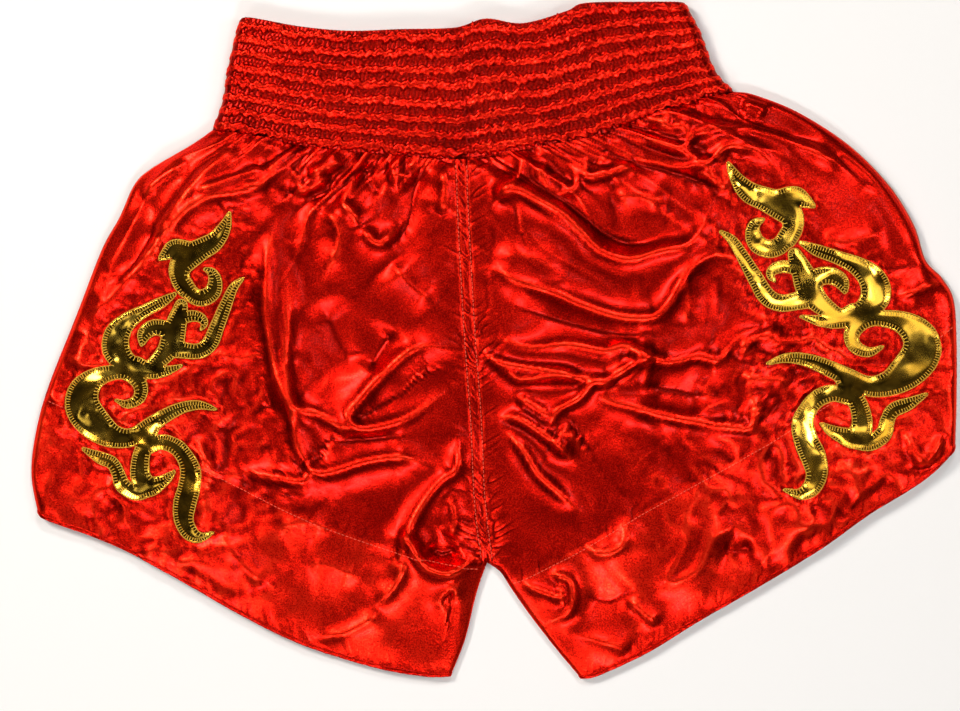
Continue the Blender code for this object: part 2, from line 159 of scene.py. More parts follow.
# side_seam: u at the waist, and how much u grows on the way down
# band_seam: v at the fold, and how much greater v is at the centre
# rows_to_band: grid rows between the crotch and the band seam
LEFT = {
    "fold": [LEFT_WAIST_CORNER, (-204.5, 133), (-231.5, 117), (-243, 106), (-253, 84), (-265, 62),
             (-282, 18), (-302, -33), (-310.5, -66.5), (-312.5, -92), (-308, -117)],
    "waist": [LEFT_WAIST_CORNER, (-147, 135), (-106, 129), (-50, 124.5), CENTRE_WAIST],
    "hem": [(-308, -117), (-300, -121.5), (-258.5, -137), (-218, -158), (-171, -185),
            (-130, -205), (-83, -220), (-49, -226.5), (-29, -227)],
    "inner_leg": [CROTCH, (-8, -160), (-12.5, -175), (-19, -201.5), (-29, -227)],
    "side_seam": (0.24, 0.44),
    "band_seam": (0.727, 0.050),
    "rows_to_band": 1,
}
RIGHT = {
    "fold": [RIGHT_WAIST_CORNER, (177, 167), (207, 155), (241, 133), (268, 106), (285, 79),
             (293, 55), (304, 43), (312, 28), (314, 0), (314, -40), (313, -73)],
    "waist": [RIGHT_WAIST_CORNER, (140, 163), (110, 153), (86, 144), (59, 136), (32, 131),
              (-2, 126), CENTRE_WAIST],
    "hem": [(313, -73), (292, -93.5), (254.5, -117), (221, -141), (180, -166), (140, -189),
            (106, -210), (72, -226), (60, -228.5)],
    "inner_leg": [CROTCH, (5, -156), (13, -168), (25, -185), (42, -207), (60, -228.5)],
    "side_seam": (0.17, 0.387),
    "band_seam": (0.724, 0.086),
    "rows_to_band": 5,
}


class Curve:
    """A smooth plan curve, read by the share of its length."""

    def __init__(self, points):
        self.samples = catmull_rom(points)
        steps = norm(np.diff(self.samples, axis=0))
        self.share = np.concatenate([[0], np.cumsum(steps)]) / steps.sum()

    def at(self, share):
        return np.stack([np.interp(share, self.share, axis) for axis in self.samples.T], axis=-1)


class Half:
    """u runs from the outer fold (0) to the centre (1), v from the waist (0) to the hem (1)."""

    def __init__(self, outline):
        self.fold = Curve(outline["fold"])
        self.waist = Curve(outline["waist"])
        self.hem = Curve(outline["hem"])
        self.centre_seam = Curve(CENTRE_SEAM)
        self.inner_leg = Curve(outline["inner_leg"])
        self.seam_at_waist, self.seam_spread = outline["side_seam"]
        self.band_at_fold, self.band_rise = outline["band_seam"]
        self.rows_to_band = outline["rows_to_band"]

    def inner_edge(self, v):
        above = self.centre_seam.at(np.clip(v / CROTCH_AT, 0, 1))
        below = self.inner_leg.at(np.clip((v - CROTCH_AT) / (1 - CROTCH_AT), 0, 1))
        return np.where((v <= CROTCH_AT)[..., None], above, below)

    def plan(self, u, v):
        return coons(u, v, self.fold.at, self.inner_edge, self.waist.at, self.hem.at)

    def band_seam(self, u):
        return self.band_at_fold + self.band_rise * u

    def side_seam(self, share):
        """u of the side seam at shares of the way to the band seam."""
        u = np.full_like(share, self.seam_at_waist)
        for _ in range(4):
            u = self.seam_at_waist + self.seam_spread * share * self.band_seam(u)
        return u


# ---- the garment as two grids a layer --------------------------------------------------
SIDE_COLUMNS = 36
FRONT_COLUMNS = 52
UPPER_ROWS = 92            # from the waist to the crotch
BAND_ROWS = 30


def side_columns():
    """Shares of the side panel's width at its grid columns, closer together at the fold."""
    even = np.linspace(0, 1, SIDE_COLUMNS + 1)
    return even - 0.12 * np.sin(np.pi * even)


def front_columns():
    """Shares of the front panel's width at its grid columns, closer together at the centre."""
    even = np.linspace(0, 1, FRONT_COLUMNS + 1)[1:]
    return even + 0.10 * np.sin(np.pi * even)


def row_shares(half):
    """Shares of the way to the band seam, then to the hem, at the grid rows."""
    crotch = CROTCH_AT / half.band_seam(1.0)
    upper = np.linspace(0, crotch, UPPER_ROWS + 1)
    to_band = np.linspace(crotch, 1, half.rows_to_band + 1)[1:]
    band = 1 + np.linspace(0, 1, BAND_ROWS + 1)[1:]
    return np.concatenate([upper, to_band, band])


def grid_at(half, shares, side, front):
    """u, v and plan at rows of shares; side and front place the columns of each panel."""
    seam = half.side_seam(np.minimum(shares, 1.0))[:, None]
    u = np.hstack([seam * side[None, :], seam + (1 - seam) * front[None, :]])
    share = shares[:, None]
    to_seam = np.minimum(share, 1.0) * half.band_seam(u)
    past_seam = np.maximum(share - 1, 0) * (1 - half.band_seam(u))
    v = to_seam + past_seam
    return u, v, half.plan(u, v)


halves = {"left": Half(LEFT), "right": Half(RIGHT)}
grids = {side: grid_at(half, row_shares(half), side_columns(), front_columns())
         for side, half in halves.items()}

# ---- height of the cloth before it is simulated ----------------------------------------
FOLD_RADIUS = 9.0          # plan width over which the front rolls down to the back
FOLD_HEIGHT = 4.0          # height of the folded edges over the table
LOFT = 5.0                 # how much higher the front lies inside them, halfway down
LOFT_SLOPE = 0.014         # and how much that grows with every millimetre towards the waist

# Folds of the laid-out cloth: route in plan, height and half-width; hollows are negative.
RIDGES = [
    # left side panel
    ([(-124, 129), (-141, 125), (-158, 105), (-196, 95), (-217, 77), (-235, 54), (-261, 26), (-284, 12)],
     9, 10),
    ([(-150, 118), (-165, 113), (-188, 104), (-203, 101)], 5, 5),
    ([(-172, 132), (-183, 122), (-200, 106), (-230, 67)], 6, 6),
    ([(-204, 121), (-222, 110), (-238, 97)], 5, 7),
    ([(-236, 92), (-246, 70), (-262, 44)], 4, 11),
    ([(-224, 84), (-236, 60), (-250, 42)], -4, 8),
    ([(-292, -8), (-267, -17), (-250, -12)], 3, 5),
    ([(-190, -6), (-170, -11), (-152, -8)], 3, 6),
    ([(-202, -60), (-196, -75), (-188, -88), (-177, -89), (-160, -98)], 4, 5),
    ([(-204, -78), (-196, -92), (-190, -97)], 3, 4),
    # left front panel, under the waistband
    ([(-150, 104), (-125, 98), (-100, 104)], -6, 7),
    ([(-108, 111), (-122, 103), (-138, 96)], 6, 5),
    ([(-96, 122), (-112, 117), (-126, 112)], 5, 4),
    ([(-92, 124), (-94, 107), (-101, 95), (-94, 85), (-91, 75)], 5, 4),
    ([(-46, 120), (-52, 104), (-58, 80), (-70, 60)], -6, 8),
    ([(-86, 122), (-84, 108), (-74, 98)], -5, 7),
    ([(-72, 111), (-62, 112), (-52, 107)], 5, 7),
    ([(-89, 80), (-82, 69), (-74, 67), (-60, 82)], 6, 5),
    ([(-34, 122), (-32, 100), (-36, 84)], 5, 5),
    ([(-70, 55), (-55, 38), (-38, 24)], 6, 11),
    ([(-118, 94), (-103, 72), (-115, 38)], 6, 10),
    ([(-146, 86), (-152, 50), (-152, 12), (-146, -20), (-138, -40)], 5, 5),
    ([(-140, 60), (-138, 20), (-140, -14), (-136, -42), (-131, -72), (-124, -82)], 5, 5),
    ([(-118, 30), (-104, 0), (-92, -24)], -5, 17),
    ([(-66, 10), (-76, -6), (-84, -22)], -5, 8),
    # left front panel, lower folds
    ([(-18, -7), (-41, -3), (-55, -6), (-70, -18), (-87, -36), (-97, -50), (-87, -59), (-59, -52),
      (-40, -39), (-28, -30)], 9, 8),
    ([(-149, -14), (-143, -31), (-135, -44), (-117, -49), (-101, -58), (-88, -60)], 6, 6),
    ([(-131, -56), (-126, -80), (-119, -88), (-106, -87), (-87, -81), (-67, -78), (-54, -80), (-30, -88)],
     8, 7),
    ([(-172, -88), (-159, -90), (-144, -92), (-129, -94), (-123, -86)], 6, 5),
    ([(-108, -68), (-84, -66), (-60, -64)], -4, 7),
    ([(-24, -62), (-23, -74), (-25, -87), (-36, -95), (-50, -114), (-62, -140), (-66, -150)], 7, 6),
    ([(-30, -100), (-26, -120), (-30, -134)], 5, 5),
    ([(-66, -132), (-57, -134), (-50, -146), (-43, -153), (-32, -156), (-21, -152), (-11, -144)], 10, 4),
    ([(-46, -138), (-34, -144), (-22, -138)], -6, 5),
    ([(-58, -142), (-62, -157), (-69, -168), (-83, -183)], 6, 6),
    ([(-30, -172), (-36, -176), (-28, -166), (-22, -178)], 4, 8),
    # left leg band
    ([(-180, -122), (-176, -141), (-163, -156), (-156, -168)], 5, 9),
    ([(-148, -126), (-128, -122), (-108, -128)], 4, 10),
    ([(-128, -150), (-108, -152), (-88, -162)], 4, 12),
    ([(-126, -203), (-104, -198), (-87, -190), (-74, -180)], 4, 6),
    # right front panel, under the waistband
    ([(-6, 76), (0, 90), (8, 100), (18, 102), (30, 96), (46, 87), (58, 76), (70, 63), (83, 57), (95, 56),
      (112, 61), (128, 64), (137, 71), (143, 82), (147, 93)], 9, 7),
    ([(14, 112), (40, 100), (58, 86), (76, 72), (98, 66), (122, 72)], -6, 8),
    ([(22, 124), (14, 108), (2, 96)], 5, 5),
    ([(40, 126), (32, 112), (44, 100), (56, 106), (52, 122)], 5, 5),
    ([(62, 126), (63, 112), (72, 112), (90, 118), (96, 120)], 6, 4),
    ([(78, 97), (98, 98), (120, 94)], 5, 9),
    ([(72, 130), (91, 121), (118, 115), (138, 108), (156, 104)], -6, 6),
    ([(80, 135), (91, 136), (112, 133), (127, 131), (135, 139), (150, 143), (168, 143), (191, 138),
      (214, 128), (232, 120), (246, 110), (256, 98)], 7, 7),
    ([(84, 128), (112, 120), (125, 117), (144, 121), (156, 130), (168, 131), (182, 125), (198, 106)],
     6, 5),
    ([(131, 114), (144, 111), (156, 105), (159, 116), (170, 118)], 5, 4),
    ([(150, 166), (162, 153), (180, 144), (203, 138), (224, 133)], -6, 7),
    ([(166, 160), (176, 158), (186, 153)], 4, 8),
    ([(108, 150), (120, 144), (134, 148)], 4, 5),
    # right front panel, middle folds
    ([(-2, 58), (25, 57), (50, 44)], 4, 14),
    ([(-12, 46), (0, 48), (18, 40), (43, 32), (59, 25), (84, 17), (104, 16), (112, 19), (120, 28),
      (128, 43), (139, 54), (155, 58), (172, 47)], 9, 8),
    ([(10, 26), (44, 14), (84, 4), (104, 4)], -5, 9),
    ([(128, 46), (131, 28), (130, 10)], 3, 5),
    ([(-10, 0), (7, 1), (24, -4), (51, -2), (75, -6), (88, -3), (102, -9), (118, -14), (138, -10),
      (151, -12), (158, -5), (168, 5), (181, 10)], 7, 6),
    ([(-8, -2), (0, -12), (18, -17), (43, -20), (58, -24), (74, -27)], 6, 4),
    ([(-3, -10), (15, -24), (24, -25), (46, -23), (60, -26)], 5, 4),
    ([(102, -9), (84, -21), (75, -27), (67, -28), (58, -38), (44, -46), (38, -55), (33, -66)], 7, 5),
    ([(72, -26), (74, -38), (94, -44), (117, -50), (136, -54), (157, -57), (173, -59), (176, -48),
      (184, -36), (196, -32)], 8, 7),
    ([(78, -27), (95, -15), (108, -12)], 5, 6),
    ([(100, -28), (124, -34), (148, -38)], -5, 10),
    ([(0, -52), (16, -52), (30, -60), (44, -70), (55, -82)], 7, 4),
    ([(6, -58), (20, -73), (30, -89), (44, -102), (58, -115)], 6, 4),
    ([(14, -36), (28, -44), (40, -52)], 5, 4),
    ([(42, -60), (50, -63), (56, -60)], 4, 8),
    ([(167, -14), (169, -5), (174, 1), (187, 5), (196, 8)], 5, 5),
    ([(190, -8), (192, 0), (209, 1), (216, 2), (226, -5), (251, -13)], 4, 4),
    ([(166, -21), (177, -25), (192, -25), (200, -30)], 4, 5),
    # right leg band
    ([(36, -160), (44, -158), (52, -162), (54, -174), (49, -184), (35, -192)], 6, 4),
    ([(14, -162), (40, -171), (51, -172)], 5, 4),
    ([(89, -114), (88, -136), (73, -143), (61, -136)], 5, 5),
    ([(143, -78), (140, -100), (131, -117), (129, -137), (118, -161), (136, -156), (144, -142),
      (148, -132), (164, -125), (176, -114)], 4.5, 8),
    ([(150, -138), (166, -142), (176, -136)], -5, 8),
    ([(89, -172), (102, -183), (113, -193)], 4, 4),
    ([(60, -172), (80, -176), (96, -164)], -4, 9),
    ([(50, -196), (81, -205), (92, -211)], 4, 6),
    ([(200, -96), (206, -118), (216, -132)], 4, 7),
    ([(240, -78), (244, -96), (252, -108)], 3, 7),
    ([(290, -88), (286, -76), (278, -60)], 4, 4),
    ([(291, -87), (297, -76), (305, -60)], 4, 4),
    # right side panel
    ([(226, 134), (249, 118), (270, 95), (284, 72), (289, 58)], 4, 6),
    ([(228, 128), (244, 114), (261, 99)], -4, 4),
    ([(214, 70), (244, 68), (266, 76)], 4, 9),
    ([(270, 28), (284, 34), (294, 38), (306, 41)], 5, 5),
    ([(252, 44), (276, 50), (292, 52)], -3, 6),
]

FOLD_STRENGTH = 0.85
FOLD_SPREAD = 1.5          # widens every fold of the list
FOLD_ENDS = 0.3            # share of a fold's length over which it rises at each end
CROWN = 1.6                # radius of the top of a fold
CROWN_RISE = 0.16          # share of a fold's height that is added crisp after the simulation
CROWN_SPREAD = 0.45        # its width against the fold's


def segment_distance(plan, route, reach):
    """Distance of plan points from a smooth route, and the share of it passed, out to a reach."""
    line = catmull_rom(route, 6)
    near = near_to(plan, line, reach)
    spots = plan[near]
    best = np.full(len(spots), np.inf)
    share = np.zeros(len(spots))
    for i in range(len(line) - 1):
        t, away = from_segment(spots, line[i], line[i + 1] - line[i])
        nearer = away < best
        best = np.where(nearer, away, best)
        share = np.where(nearer, (i + t) / (len(line) - 1), share)
    distance = np.full(plan.shape[:-1], FAR)
    passed = np.zeros(plan.shape[:-1])
    distance[near], passed[near] = best, share
    return distance, passed


def fold_heights(plan, strength, spread):
    """Folds with a narrow crown and hollow flanks, lower towards their ends."""
    height = np.zeros(plan.shape[:-1])
    for route, tall, half_width in RIDGES:
        away, share = segment_distance(plan, route, 5 * half_width * spread)
        ends = smooth(share / FOLD_ENDS) * smooth((1 - share) / FOLD_ENDS) * 0.85 + 0.15
        height += tall * strength * ends * fade(np.hypot(away, CROWN) - CROWN, half_width * spread)
    return height


def crumpled(x, y):
    """From 0 where the cloth lies calm to 1 where it is crumpled, at the lower outer corners."""
    left = np.exp(-((x + 225) / 95) ** 2 - ((y + 70) / 110) ** 2)
    right = np.exp(-((x - 215) / 105) ** 2 - ((y + 80) / 70) ** 2)
    return np.maximum(left, right)


def seeded_folds(plan):
    x, y = plan[..., 0], plan[..., 1]
    calm = 0.5 + 0.5 * crumpled(x, y)
    return (fold_heights(plan, FOLD_STRENGTH, FOLD_SPREAD)
            + calm * (3.2 * rumple(x, y, 52, 3) + 2.2 * creased(x, y, 64, 5)))


def crests(plan):
    """What is too tight for the simulated cells: crowns of the folds, and crumples."""
    x, y = plan[..., 0], plan[..., 1]
    dimples = rumple(x, y, 19, 23) + 1.9 * creased(x, y, 21, 27)
    return (fold_heights(plan, CROWN_RISE, CROWN_SPREAD) + 0.22 * creased(x, y, 31, 17)
            + crumpled(x, y) * dimples)


def rolled(distance):
    """Height of a quarter-round edge, from 0 at the edge to 1 past the fold radius."""
    inside = np.clip(distance / FOLD_RADIUS, 0, 1)
    return np.sqrt(np.maximum(0, 1 - (1 - inside) ** 2))


def edge_distance(half, u, v, plan):
    """Distance inside the folded edges of the half."""
    fold = norm(plan - half.fold.at(v))
    inner = norm(plan - half.inner_edge(np.maximum(v, CROTCH_AT)))
    return np.minimum(fold, inner)


def front_loft(plan):
    """How far the front layer, away from its edges, lies over the folded edges."""
    return LOFT + LOFT_SLOPE * plan[..., 1]


# ---- grids and meshes ------------------------------------------------------------------
FINE = 3                   # finer grid cells to one simulated cell, each way


def refine(grid):
    """A smooth grid with more rows and columns through the same points."""
    for axis in (0, 1):
        g = np.moveaxis(grid, axis, 0)
        g = np.concatenate([2 * g[:1] - g[1:2], g, 2 * g[-1:] - g[-2:-1]])
        out = np.empty(((len(g) - 3) * FINE + 1,) + g.shape[1:])
        for k in range(FINE):
            out[k:-1:FINE] = spline(g[:-3], g[1:-2], g[2:-1], g[3:], k / FINE)
        out[-1] = g[-2]
        grid = np.moveaxis(out, 0, axis)
    return grid


def grid_normals(points):
    """Unit normals of a grid of points, pointing up where the grid lies flat."""
    normal = unit(np.cross(np.gradient(points, axis=1), np.gradient(points, axis=0)))
    return normal if normal[..., 2].mean() > 0 else -normal


def arc_length(points, axis):
    """Length from the first point of each row or column of a grid."""
    steps = norm(np.diff(points, axis=axis))
    zero = np.zeros_like(np.take(steps, [0], axis=axis))
    return np.concatenate([zero, np.cumsum(steps, axis=axis)], axis=axis)


def quads(index, flip=False):
    """Faces of a grid of vertex numbers."""
    a, b, c, d = index[:-1, :-1], index[:-1, 1:], index[1:, 1:], index[1:, :-1]
    order = (a, d, c, b) if flip else (a, b, c, d)
    return np.stack([o.ravel() for o in order], axis=1)


def mesh_object(name, points, faces):
    mesh = bpy.data.meshes.new(name)
    mesh.from_pydata([tuple(p) for p in np.asarray(points) * MM], [], faces)
    mesh.update()
    piece = bpy.data.objects.new(name, mesh)
    bpy.context.scene.collection.objects.link(piece)
    return piece


def finish_piece(piece, look):
    piece.data.materials.append(look)
    piece.data.shade_smooth()
    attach(piece, BODY)


def thicken(piece, thickness, offset):
    """Thickness in millimetres; offset is 0 for both ways and -1 for below only."""
    solid = piece.modifiers.new("thickness", "SOLIDIFY")
    solid.thickness = thickness * MM
    solid.offset = offset


def weld(piece):
    """Joins the grids of a piece; its open borders stay sharp, so neighbours shade as one cloth."""
    grid = bmesh.new()
    grid.from_mesh(piece.data)
    bmesh.ops.remove_doubles(grid, verts=grid.verts, dist=0.00002)
    bmesh.ops.dissolve_degenerate(grid, edges=grid.edges, dist=0.00001)
    for edge in grid.edges:
        edge.smooth = not edge.is_boundary
    grid.to_mesh(piece.data)
    grid.free()


def joined(name, patches, thickness, look, node):
    """One piece of cloth from grids that share their borders, in place of a CAD node.

    A grid has the point, and may have after it its painted light: from painted shade in a hollow to
    painted highlight on a crest."""
    points, painted_light, faces, count = [], [], [], 0
    for grid, flip in patches:
        numbers = np.arange(grid.shape[0] * grid.shape[1]).reshape(grid.shape[:2]) + count
        count += numbers.size
        points.append(grid[..., :3].reshape(-1, 3))
        painted_light.append(grid[..., 3].ravel() if grid.shape[2] > 3 else np.full(numbers.size, 0.5))
        faces.append(quads(numbers, flip))
    piece = mesh_object(name, np.vstack(points), np.vstack(faces).tolist())
    # painted light: a value on every point that the satin's colour reads, darker as painted shade in
    # hollows, brighter as painted highlight on crests
    shade = piece.data.attributes.new("painted_light", "FLOAT", "POINT")
    shade.data.foreach_set("value", np.concatenate(painted_light).astype(np.float32))
    weld(piece)
    finish_piece(piece, look)
    if thickness:
        thicken(piece, thickness, 0)
    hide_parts(node)
    return piece


# ---- simulation ------------------------------------------------------------------------
SIM_FRAMES = 24
TAKE_UP = 1.15             # cloth that a seeded fold takes up, against its height
EASE_DOWN = 1.03           # how much longer the cloth is cut than it lies
SEAM_HOLD = 0.35           # how firmly the centre seam is pinned
CALM_EDGE = 14             # plan width along the folded edges in which the folds die out
CALM_HEM = 0.05            # and share of the way down in which they do at the hem


def gather(v):
    """How much wider the cloth is cut than it lies."""
    return 1.05 + 0.55 * fade(v, 0.13)


def lay_out(side):
    """Two grids of one half: where its front starts, and the flat pattern it is cut from."""
    half = halves[side]
    u, v, plan = grids[side]
    distance = edge_distance(half, u, v, plan)
    folds = seeded_folds(plan) * (smooth(distance / CALM_EDGE) * smooth((1 - v) / CALM_HEM))
    pleats = fade(v, 0.05) * 1.6 * noise(plan[..., 0] / 6.5, plan[..., 1] / 60, 8)
    height = (FOLD_HEIGHT + front_loft(plan) * rolled(distance)
              + folds * smooth(v / 0.03 + 0.25) + pleats * smooth(distance / 6))
    step_u = np.hypot(norm(np.diff(plan, axis=1)) * gather(v[:, 1:]),
                      np.diff(folds, axis=1) * TAKE_UP)
    step_v = np.hypot(norm(np.diff(plan, axis=0)) * EASE_DOWN,
                      np.diff(folds, axis=0) * TAKE_UP)
    across = np.cumsum(step_u[:, ::-1], axis=1)[:, ::-1]
    across = np.hstack([across, np.zeros((len(plan), 1))]) * (-1 if side == "left" else 1)
    down = np.vstack([np.zeros((1, plan.shape[1])), np.cumsum(step_v, axis=0)])
    return np.dstack([plan, height]), np.dstack([across, -down, np.zeros_like(down)])


def settle(cloth, pattern, pin):
    """Points of the cloth once it has settled; pin is how firmly each point is held."""
    group = cloth.vertex_groups.new(name="pin")
    for weight in np.unique(pin[pin > 0]):
        group.add(np.flatnonzero(pin == weight).tolist(), float(weight), "REPLACE")
    cloth.shape_key_add(name="Basis")
    cut = cloth.shape_key_add(name="pattern")
    cut.data.foreach_set("co", (pattern * MM).ravel())
    modifier = cloth.modifiers.new("cloth", "CLOTH")
    cfg = modifier.settings
    cfg.quality = 6
    cfg.mass = 0.12
    cfg.tension_stiffness = cfg.compression_stiffness = 12
    cfg.shear_stiffness = 4
    cfg.bending_stiffness = 0.04
    cfg.tension_damping = cfg.compression_damping = cfg.shear_damping = 4
    cfg.air_damping = 2
    cfg.rest_shape_key = cut
    cfg.vertex_group_mass = "pin"
    cfg.pin_stiffness = 1
    cfg.effector_weights.gravity = 0
    modifier.collision_settings.use_collision = False
    modifier.collision_settings.use_self_collision = False
    modifier.point_cache.frame_start = 1
    modifier.point_cache.frame_end = SIM_FRAMES
    scene = bpy.context.scene
    scene.frame_start, scene.frame_end = 1, SIM_FRAMES
    for step in range(1, SIM_FRAMES + 1):
        scene.frame_set(step)
    solved = cloth.evaluated_get(bpy.context.evaluated_depsgraph_get()).to_mesh()
    points = np.empty(len(solved.vertices) * 3)
    solved.vertices.foreach_get("co", points)
    scene.frame_set(1)
    bpy.data.objects.remove(cloth)
    return points.reshape(-1, 3) / MM


def simulate_front():
    """Lays the front layer with more cloth than its outline holds, and lets it settle."""
    start, pattern, pin, faces = [], [], [], []
    index, cut_grids, count = {}, {}, 0
    for side in halves:
        laid, cut = lay_out(side)
        keep = np.ones(laid.shape[:2], bool)
        keep[:UPPER_ROWS + 1, -1] = side == "left"
        numbers = np.empty(keep.shape, int)
        numbers[keep] = np.arange(keep.sum()) + count
        if side == "right":
            numbers[:UPPER_ROWS + 1, -1] = index["left"][:UPPER_ROWS + 1, -1]
        held = np.zeros(keep.shape)
        held[0] = held[-1] = held[:, 0] = held[UPPER_ROWS:, -1] = 1
        held[:UPPER_ROWS, -1] = SEAM_HOLD
        start.append(laid[keep])
        pattern.append(cut[keep])
        pin.append(held[keep])
        faces.append(quads(numbers, flip=side == "left"))
        index[side], cut_grids[side] = numbers, cut
        count += keep.sum()
    cloth = mesh_object("front_cloth", np.vstack(start), np.vstack(faces).tolist())
    points = settle(cloth, np.vstack(pattern), np.concatenate(pin))
    return {side: points[index[side]] for side in index}, cut_grids


# ---- foil flames -----------------------------------------------------------------------
# Strokes of the right ornament from its tip, in millimetres: x, y and half-width.
UPPER_FLAME = [
    [(0, 0, .3), (5.4, -10.8, 4), (14.9, -20.3, 6.4), (25.7, -25, 7.4), (36.5, -29.7, 8.8),
     (43.9, -36.5, 7.4), (44.6, -45.2, 6.1), (41.9, -52.7, 4.7)],
    [(36.5, -25.7, 6.8), (45.9, -23, 6.1), (52.7, -26.3, 4), (60.1, -30.4, .3)],
    [(42.5, -47, 5.4), (36.5, -56, 5.4), (28.4, -58.7, 5.4), (20.3, -54.7, 5.4),
     (17.6, -47.3, 4.4), (19.6, -41.2, 2.7), (25.7, -38.5, .5)],
]
LOWER_SCROLL = [
    [(49, -54, .7), (60.8, -59.4, 3.4), (75.6, -64.8, 4), (89.1, -70.9, 6), (98.6, -79.7, 8.8),
     (100.6, -89.8, 9.5), (94.5, -98.6, 7.4), (82.4, -105.3, 5.4), (70.9, -108, 4)],
    [(46, -62.5, 4.2), (51.3, -74.3, 6.8), (55.4, -85.1, 8.1), (60.8, -93.2, 6.8),
     (68.9, -99.9, 5.4), (78.3, -105.3, 4)],
    [(57.4, -81, 6.1), (63.5, -77, 5.4), (71.6, -77, 5.1), (77.6, -81, 4.4), (80.3, -88.4, .7)],
    [(46, -71.5, 3.6), (38, -70.5, 3.6), (31.5, -72.5, 3), (29.5, -76.5, 2), (33.1, -80.6, .5)],
    [(56.7, -91.8, 6.1), (47.3, -93.8, 5.4), (36.5, -95.2, 5.1), (27, -90.5, 5.4),
     (18.9, -77.6, 4.7), (10.1, -62.8, 3.7), (3.4, -52.7, 2.7), (-5.4, -46.6, .4)],
    [(85.1, -101.3, 5.4), (75.6, -106, 4.4), (64.1, -107.3, 3.4), (49.3, -104, .4)],
    [(106, -124.2, .5), (95.9, -128.3, 2.7), (86.4, -124.2, 4), (84.4, -116.1, 4.7),
     (90.5, -108, 5.4), (101.3, -105.3, 4.7), (118.1, -108, 6.8), (129.6, -116.8, 10.5),
     (131.6, -128.3, 12.5), (122.9, -140.4, 11.5), (110, -149.2, 8.1), (95.9, -151.2, 6.1),
     (81, -144.5, 5.4), (66.2, -137.7, 4.7), (52.7, -133, 3.7), (39.2, -132.3, 2.7),
     (26.3, -136.4, .4)],
    [(78.3, -147.2, 4), (86.4, -158, 5.4), (91.1, -168.8, 6.1), (91.8, -179.6, 6.8),
     (86.4, -186.3, 6.8), (77.6, -184.3, 4.7), (70.2, -180.9, 3), (63.5, -176.2, .5)],
    [(82.4, -159.3, 4), (72.9, -155.9, 5.1), (62.1, -159.3, 5.4), (54.7, -167.4, 5.7),
     (51.3, -177.5, 7.1), (54, -189, 7.8), (58.7, -199.8, 8.1), (60.8, -210.6, 6.8),
     (56.7, -220.1, 5.4), (48.6, -224.1, 3), (37.8, -220.7, .4)],
    [(86.4, -187.7, 5.4), (97.2, -189.7, 5.1), (106.7, -183.6, 5.1), (109.4, -174.2, 4.4),
     (113.4, -167.4, 4.4), (122.9, -163.4, 4), (136.4, -155.9, .4)],
]
# where each ornament's tip lies, and the plan directions of its x and y
FOIL_PLACES = {
    "right": ((157.5, 121.0), (1.0, 0.0), (0.0, 1.0)),
    "left": ((-176.9, 88.1), (-0.85, -0.063), (-0.094, 0.971)),
}
FLAME_REACH = 40.0         # how far outside a flame its distance is still measured
FOIL_CELL = 0.8
FOIL_MARGIN = 16           # of the cells round the strokes
SHORTEST_LOOP = 12         # shorter outlines are slivers between two strokes


def on_garment(side, points):
    """Plan points from points of the ornament's drawing."""
    tip, x_axis, y_axis = (np.array(p) for p in FOIL_PLACES[side])
    return tip + points[:, :1] * x_axis + points[:, 1:2] * y_axis


def flame_distance(plan, side, strokes):
    """Signed distance of plan points from a flame's outline, negative inside."""
    _, x_axis, y_axis = FOIL_PLACES[side]
    scale = math.sqrt(abs(x_axis[0] * y_axis[1] - x_axis[1] * y_axis[0]))
    near = near_to(plan, on_garment(side, np.vstack(strokes)), FLAME_REACH)
    spots = plan[near]
    best = np.full(len(spots), FAR)
    for stroke in strokes:
        line = catmull_rom(stroke, 5)
        route = on_garment(side, line)
        widths = line[:, 2] * scale
        for i in range(len(route) - 1):
            t, away = from_segment(spots, route[i], route[i + 1] - route[i])
            best = np.minimum(best, away - (widths[i] + t * (widths[i + 1] - widths[i])))
    distance = np.full(plan.shape[:-1], FAR)
    distance[near] = best
    return distance


def chained(links):
    """Closed loops of numbers from the links between them."""
    loops = []
    while links:
        start, here = links.popitem()
        loop = [start, here]
        while here in links:
            here = links.pop(here)
            loop.append(here)
        loops.append(loop[:-1])
    return loops


def flame_cells(side, strokes):
    """The flame's area as cells cut along its outline, and the outline's loops, in plan."""
    corners = on_garment(side, np.vstack(strokes))
    low, high = corners.min(axis=0) - FOIL_MARGIN, corners.max(axis=0) + FOIL_MARGIN
    plan = np.stack(np.meshgrid(np.arange(low[0], high[0], FOIL_CELL),
                                np.arange(low[1], high[1], FOIL_CELL)), axis=-1)
    field = flame_distance(plan, side, strokes)
    inside = field < 0
    points, numbers, faces, links = [], {}, [], {}

    def vertex(key, spot):
        if key not in numbers:
            numbers[key] = len(points)
            points.append(spot)
        return numbers[key]

    def crossing(p, q):
        share = field[p] / (field[p] - field[q])
        share = min(max(share, 0.04), 0.96)
        return plan[p] * (1 - share) + plan[q] * share

    touched = inside[:-1, :-1] | inside[1:, :-1] | inside[:-1, 1:] | inside[1:, 1:]
    for row, column in zip(*np.nonzero(touched)):
        ring = [(row, column), (row, column + 1), (row + 1, column + 1), (row + 1, column)]
        face, leaving, entering = [], [], []
        for p, q in zip(ring, ring[1:] + ring[:1]):
            if inside[p]:
                face.append(vertex(p, plan[p]))
            if inside[p] != inside[q]:
                face.append(vertex((min(p, q), max(p, q)), crossing(p, q)))
                (leaving if inside[p] else entering).append(face[-1])
        faces.append(face)
        if len(leaving) > 1:
            entering.reverse()
        links.update(zip(leaving, entering))
    points = np.array(points)
    loops = [points[loop] for loop in chained(links) if len(loop) >= SHORTEST_LOOP]
    return points, faces, loops


# ---- the draped garment ----------------------------------------------------------------
TWIN_ROWS = 3.6            # from the centre seam to the row of stitches on each side of it
SEEDS = {"left": 11, "right": 47}
RELIEF_RANGE = 0.14        # millimetres of relief that take the painted light from painted shade in a hollow to painted highlight on a crest


def segment_rows(half):
    """Fine row numbers of the crotch and of the band seam."""
    return UPPER_ROWS * FINE, (UPPER_ROWS + half.rows_to_band) * FINE


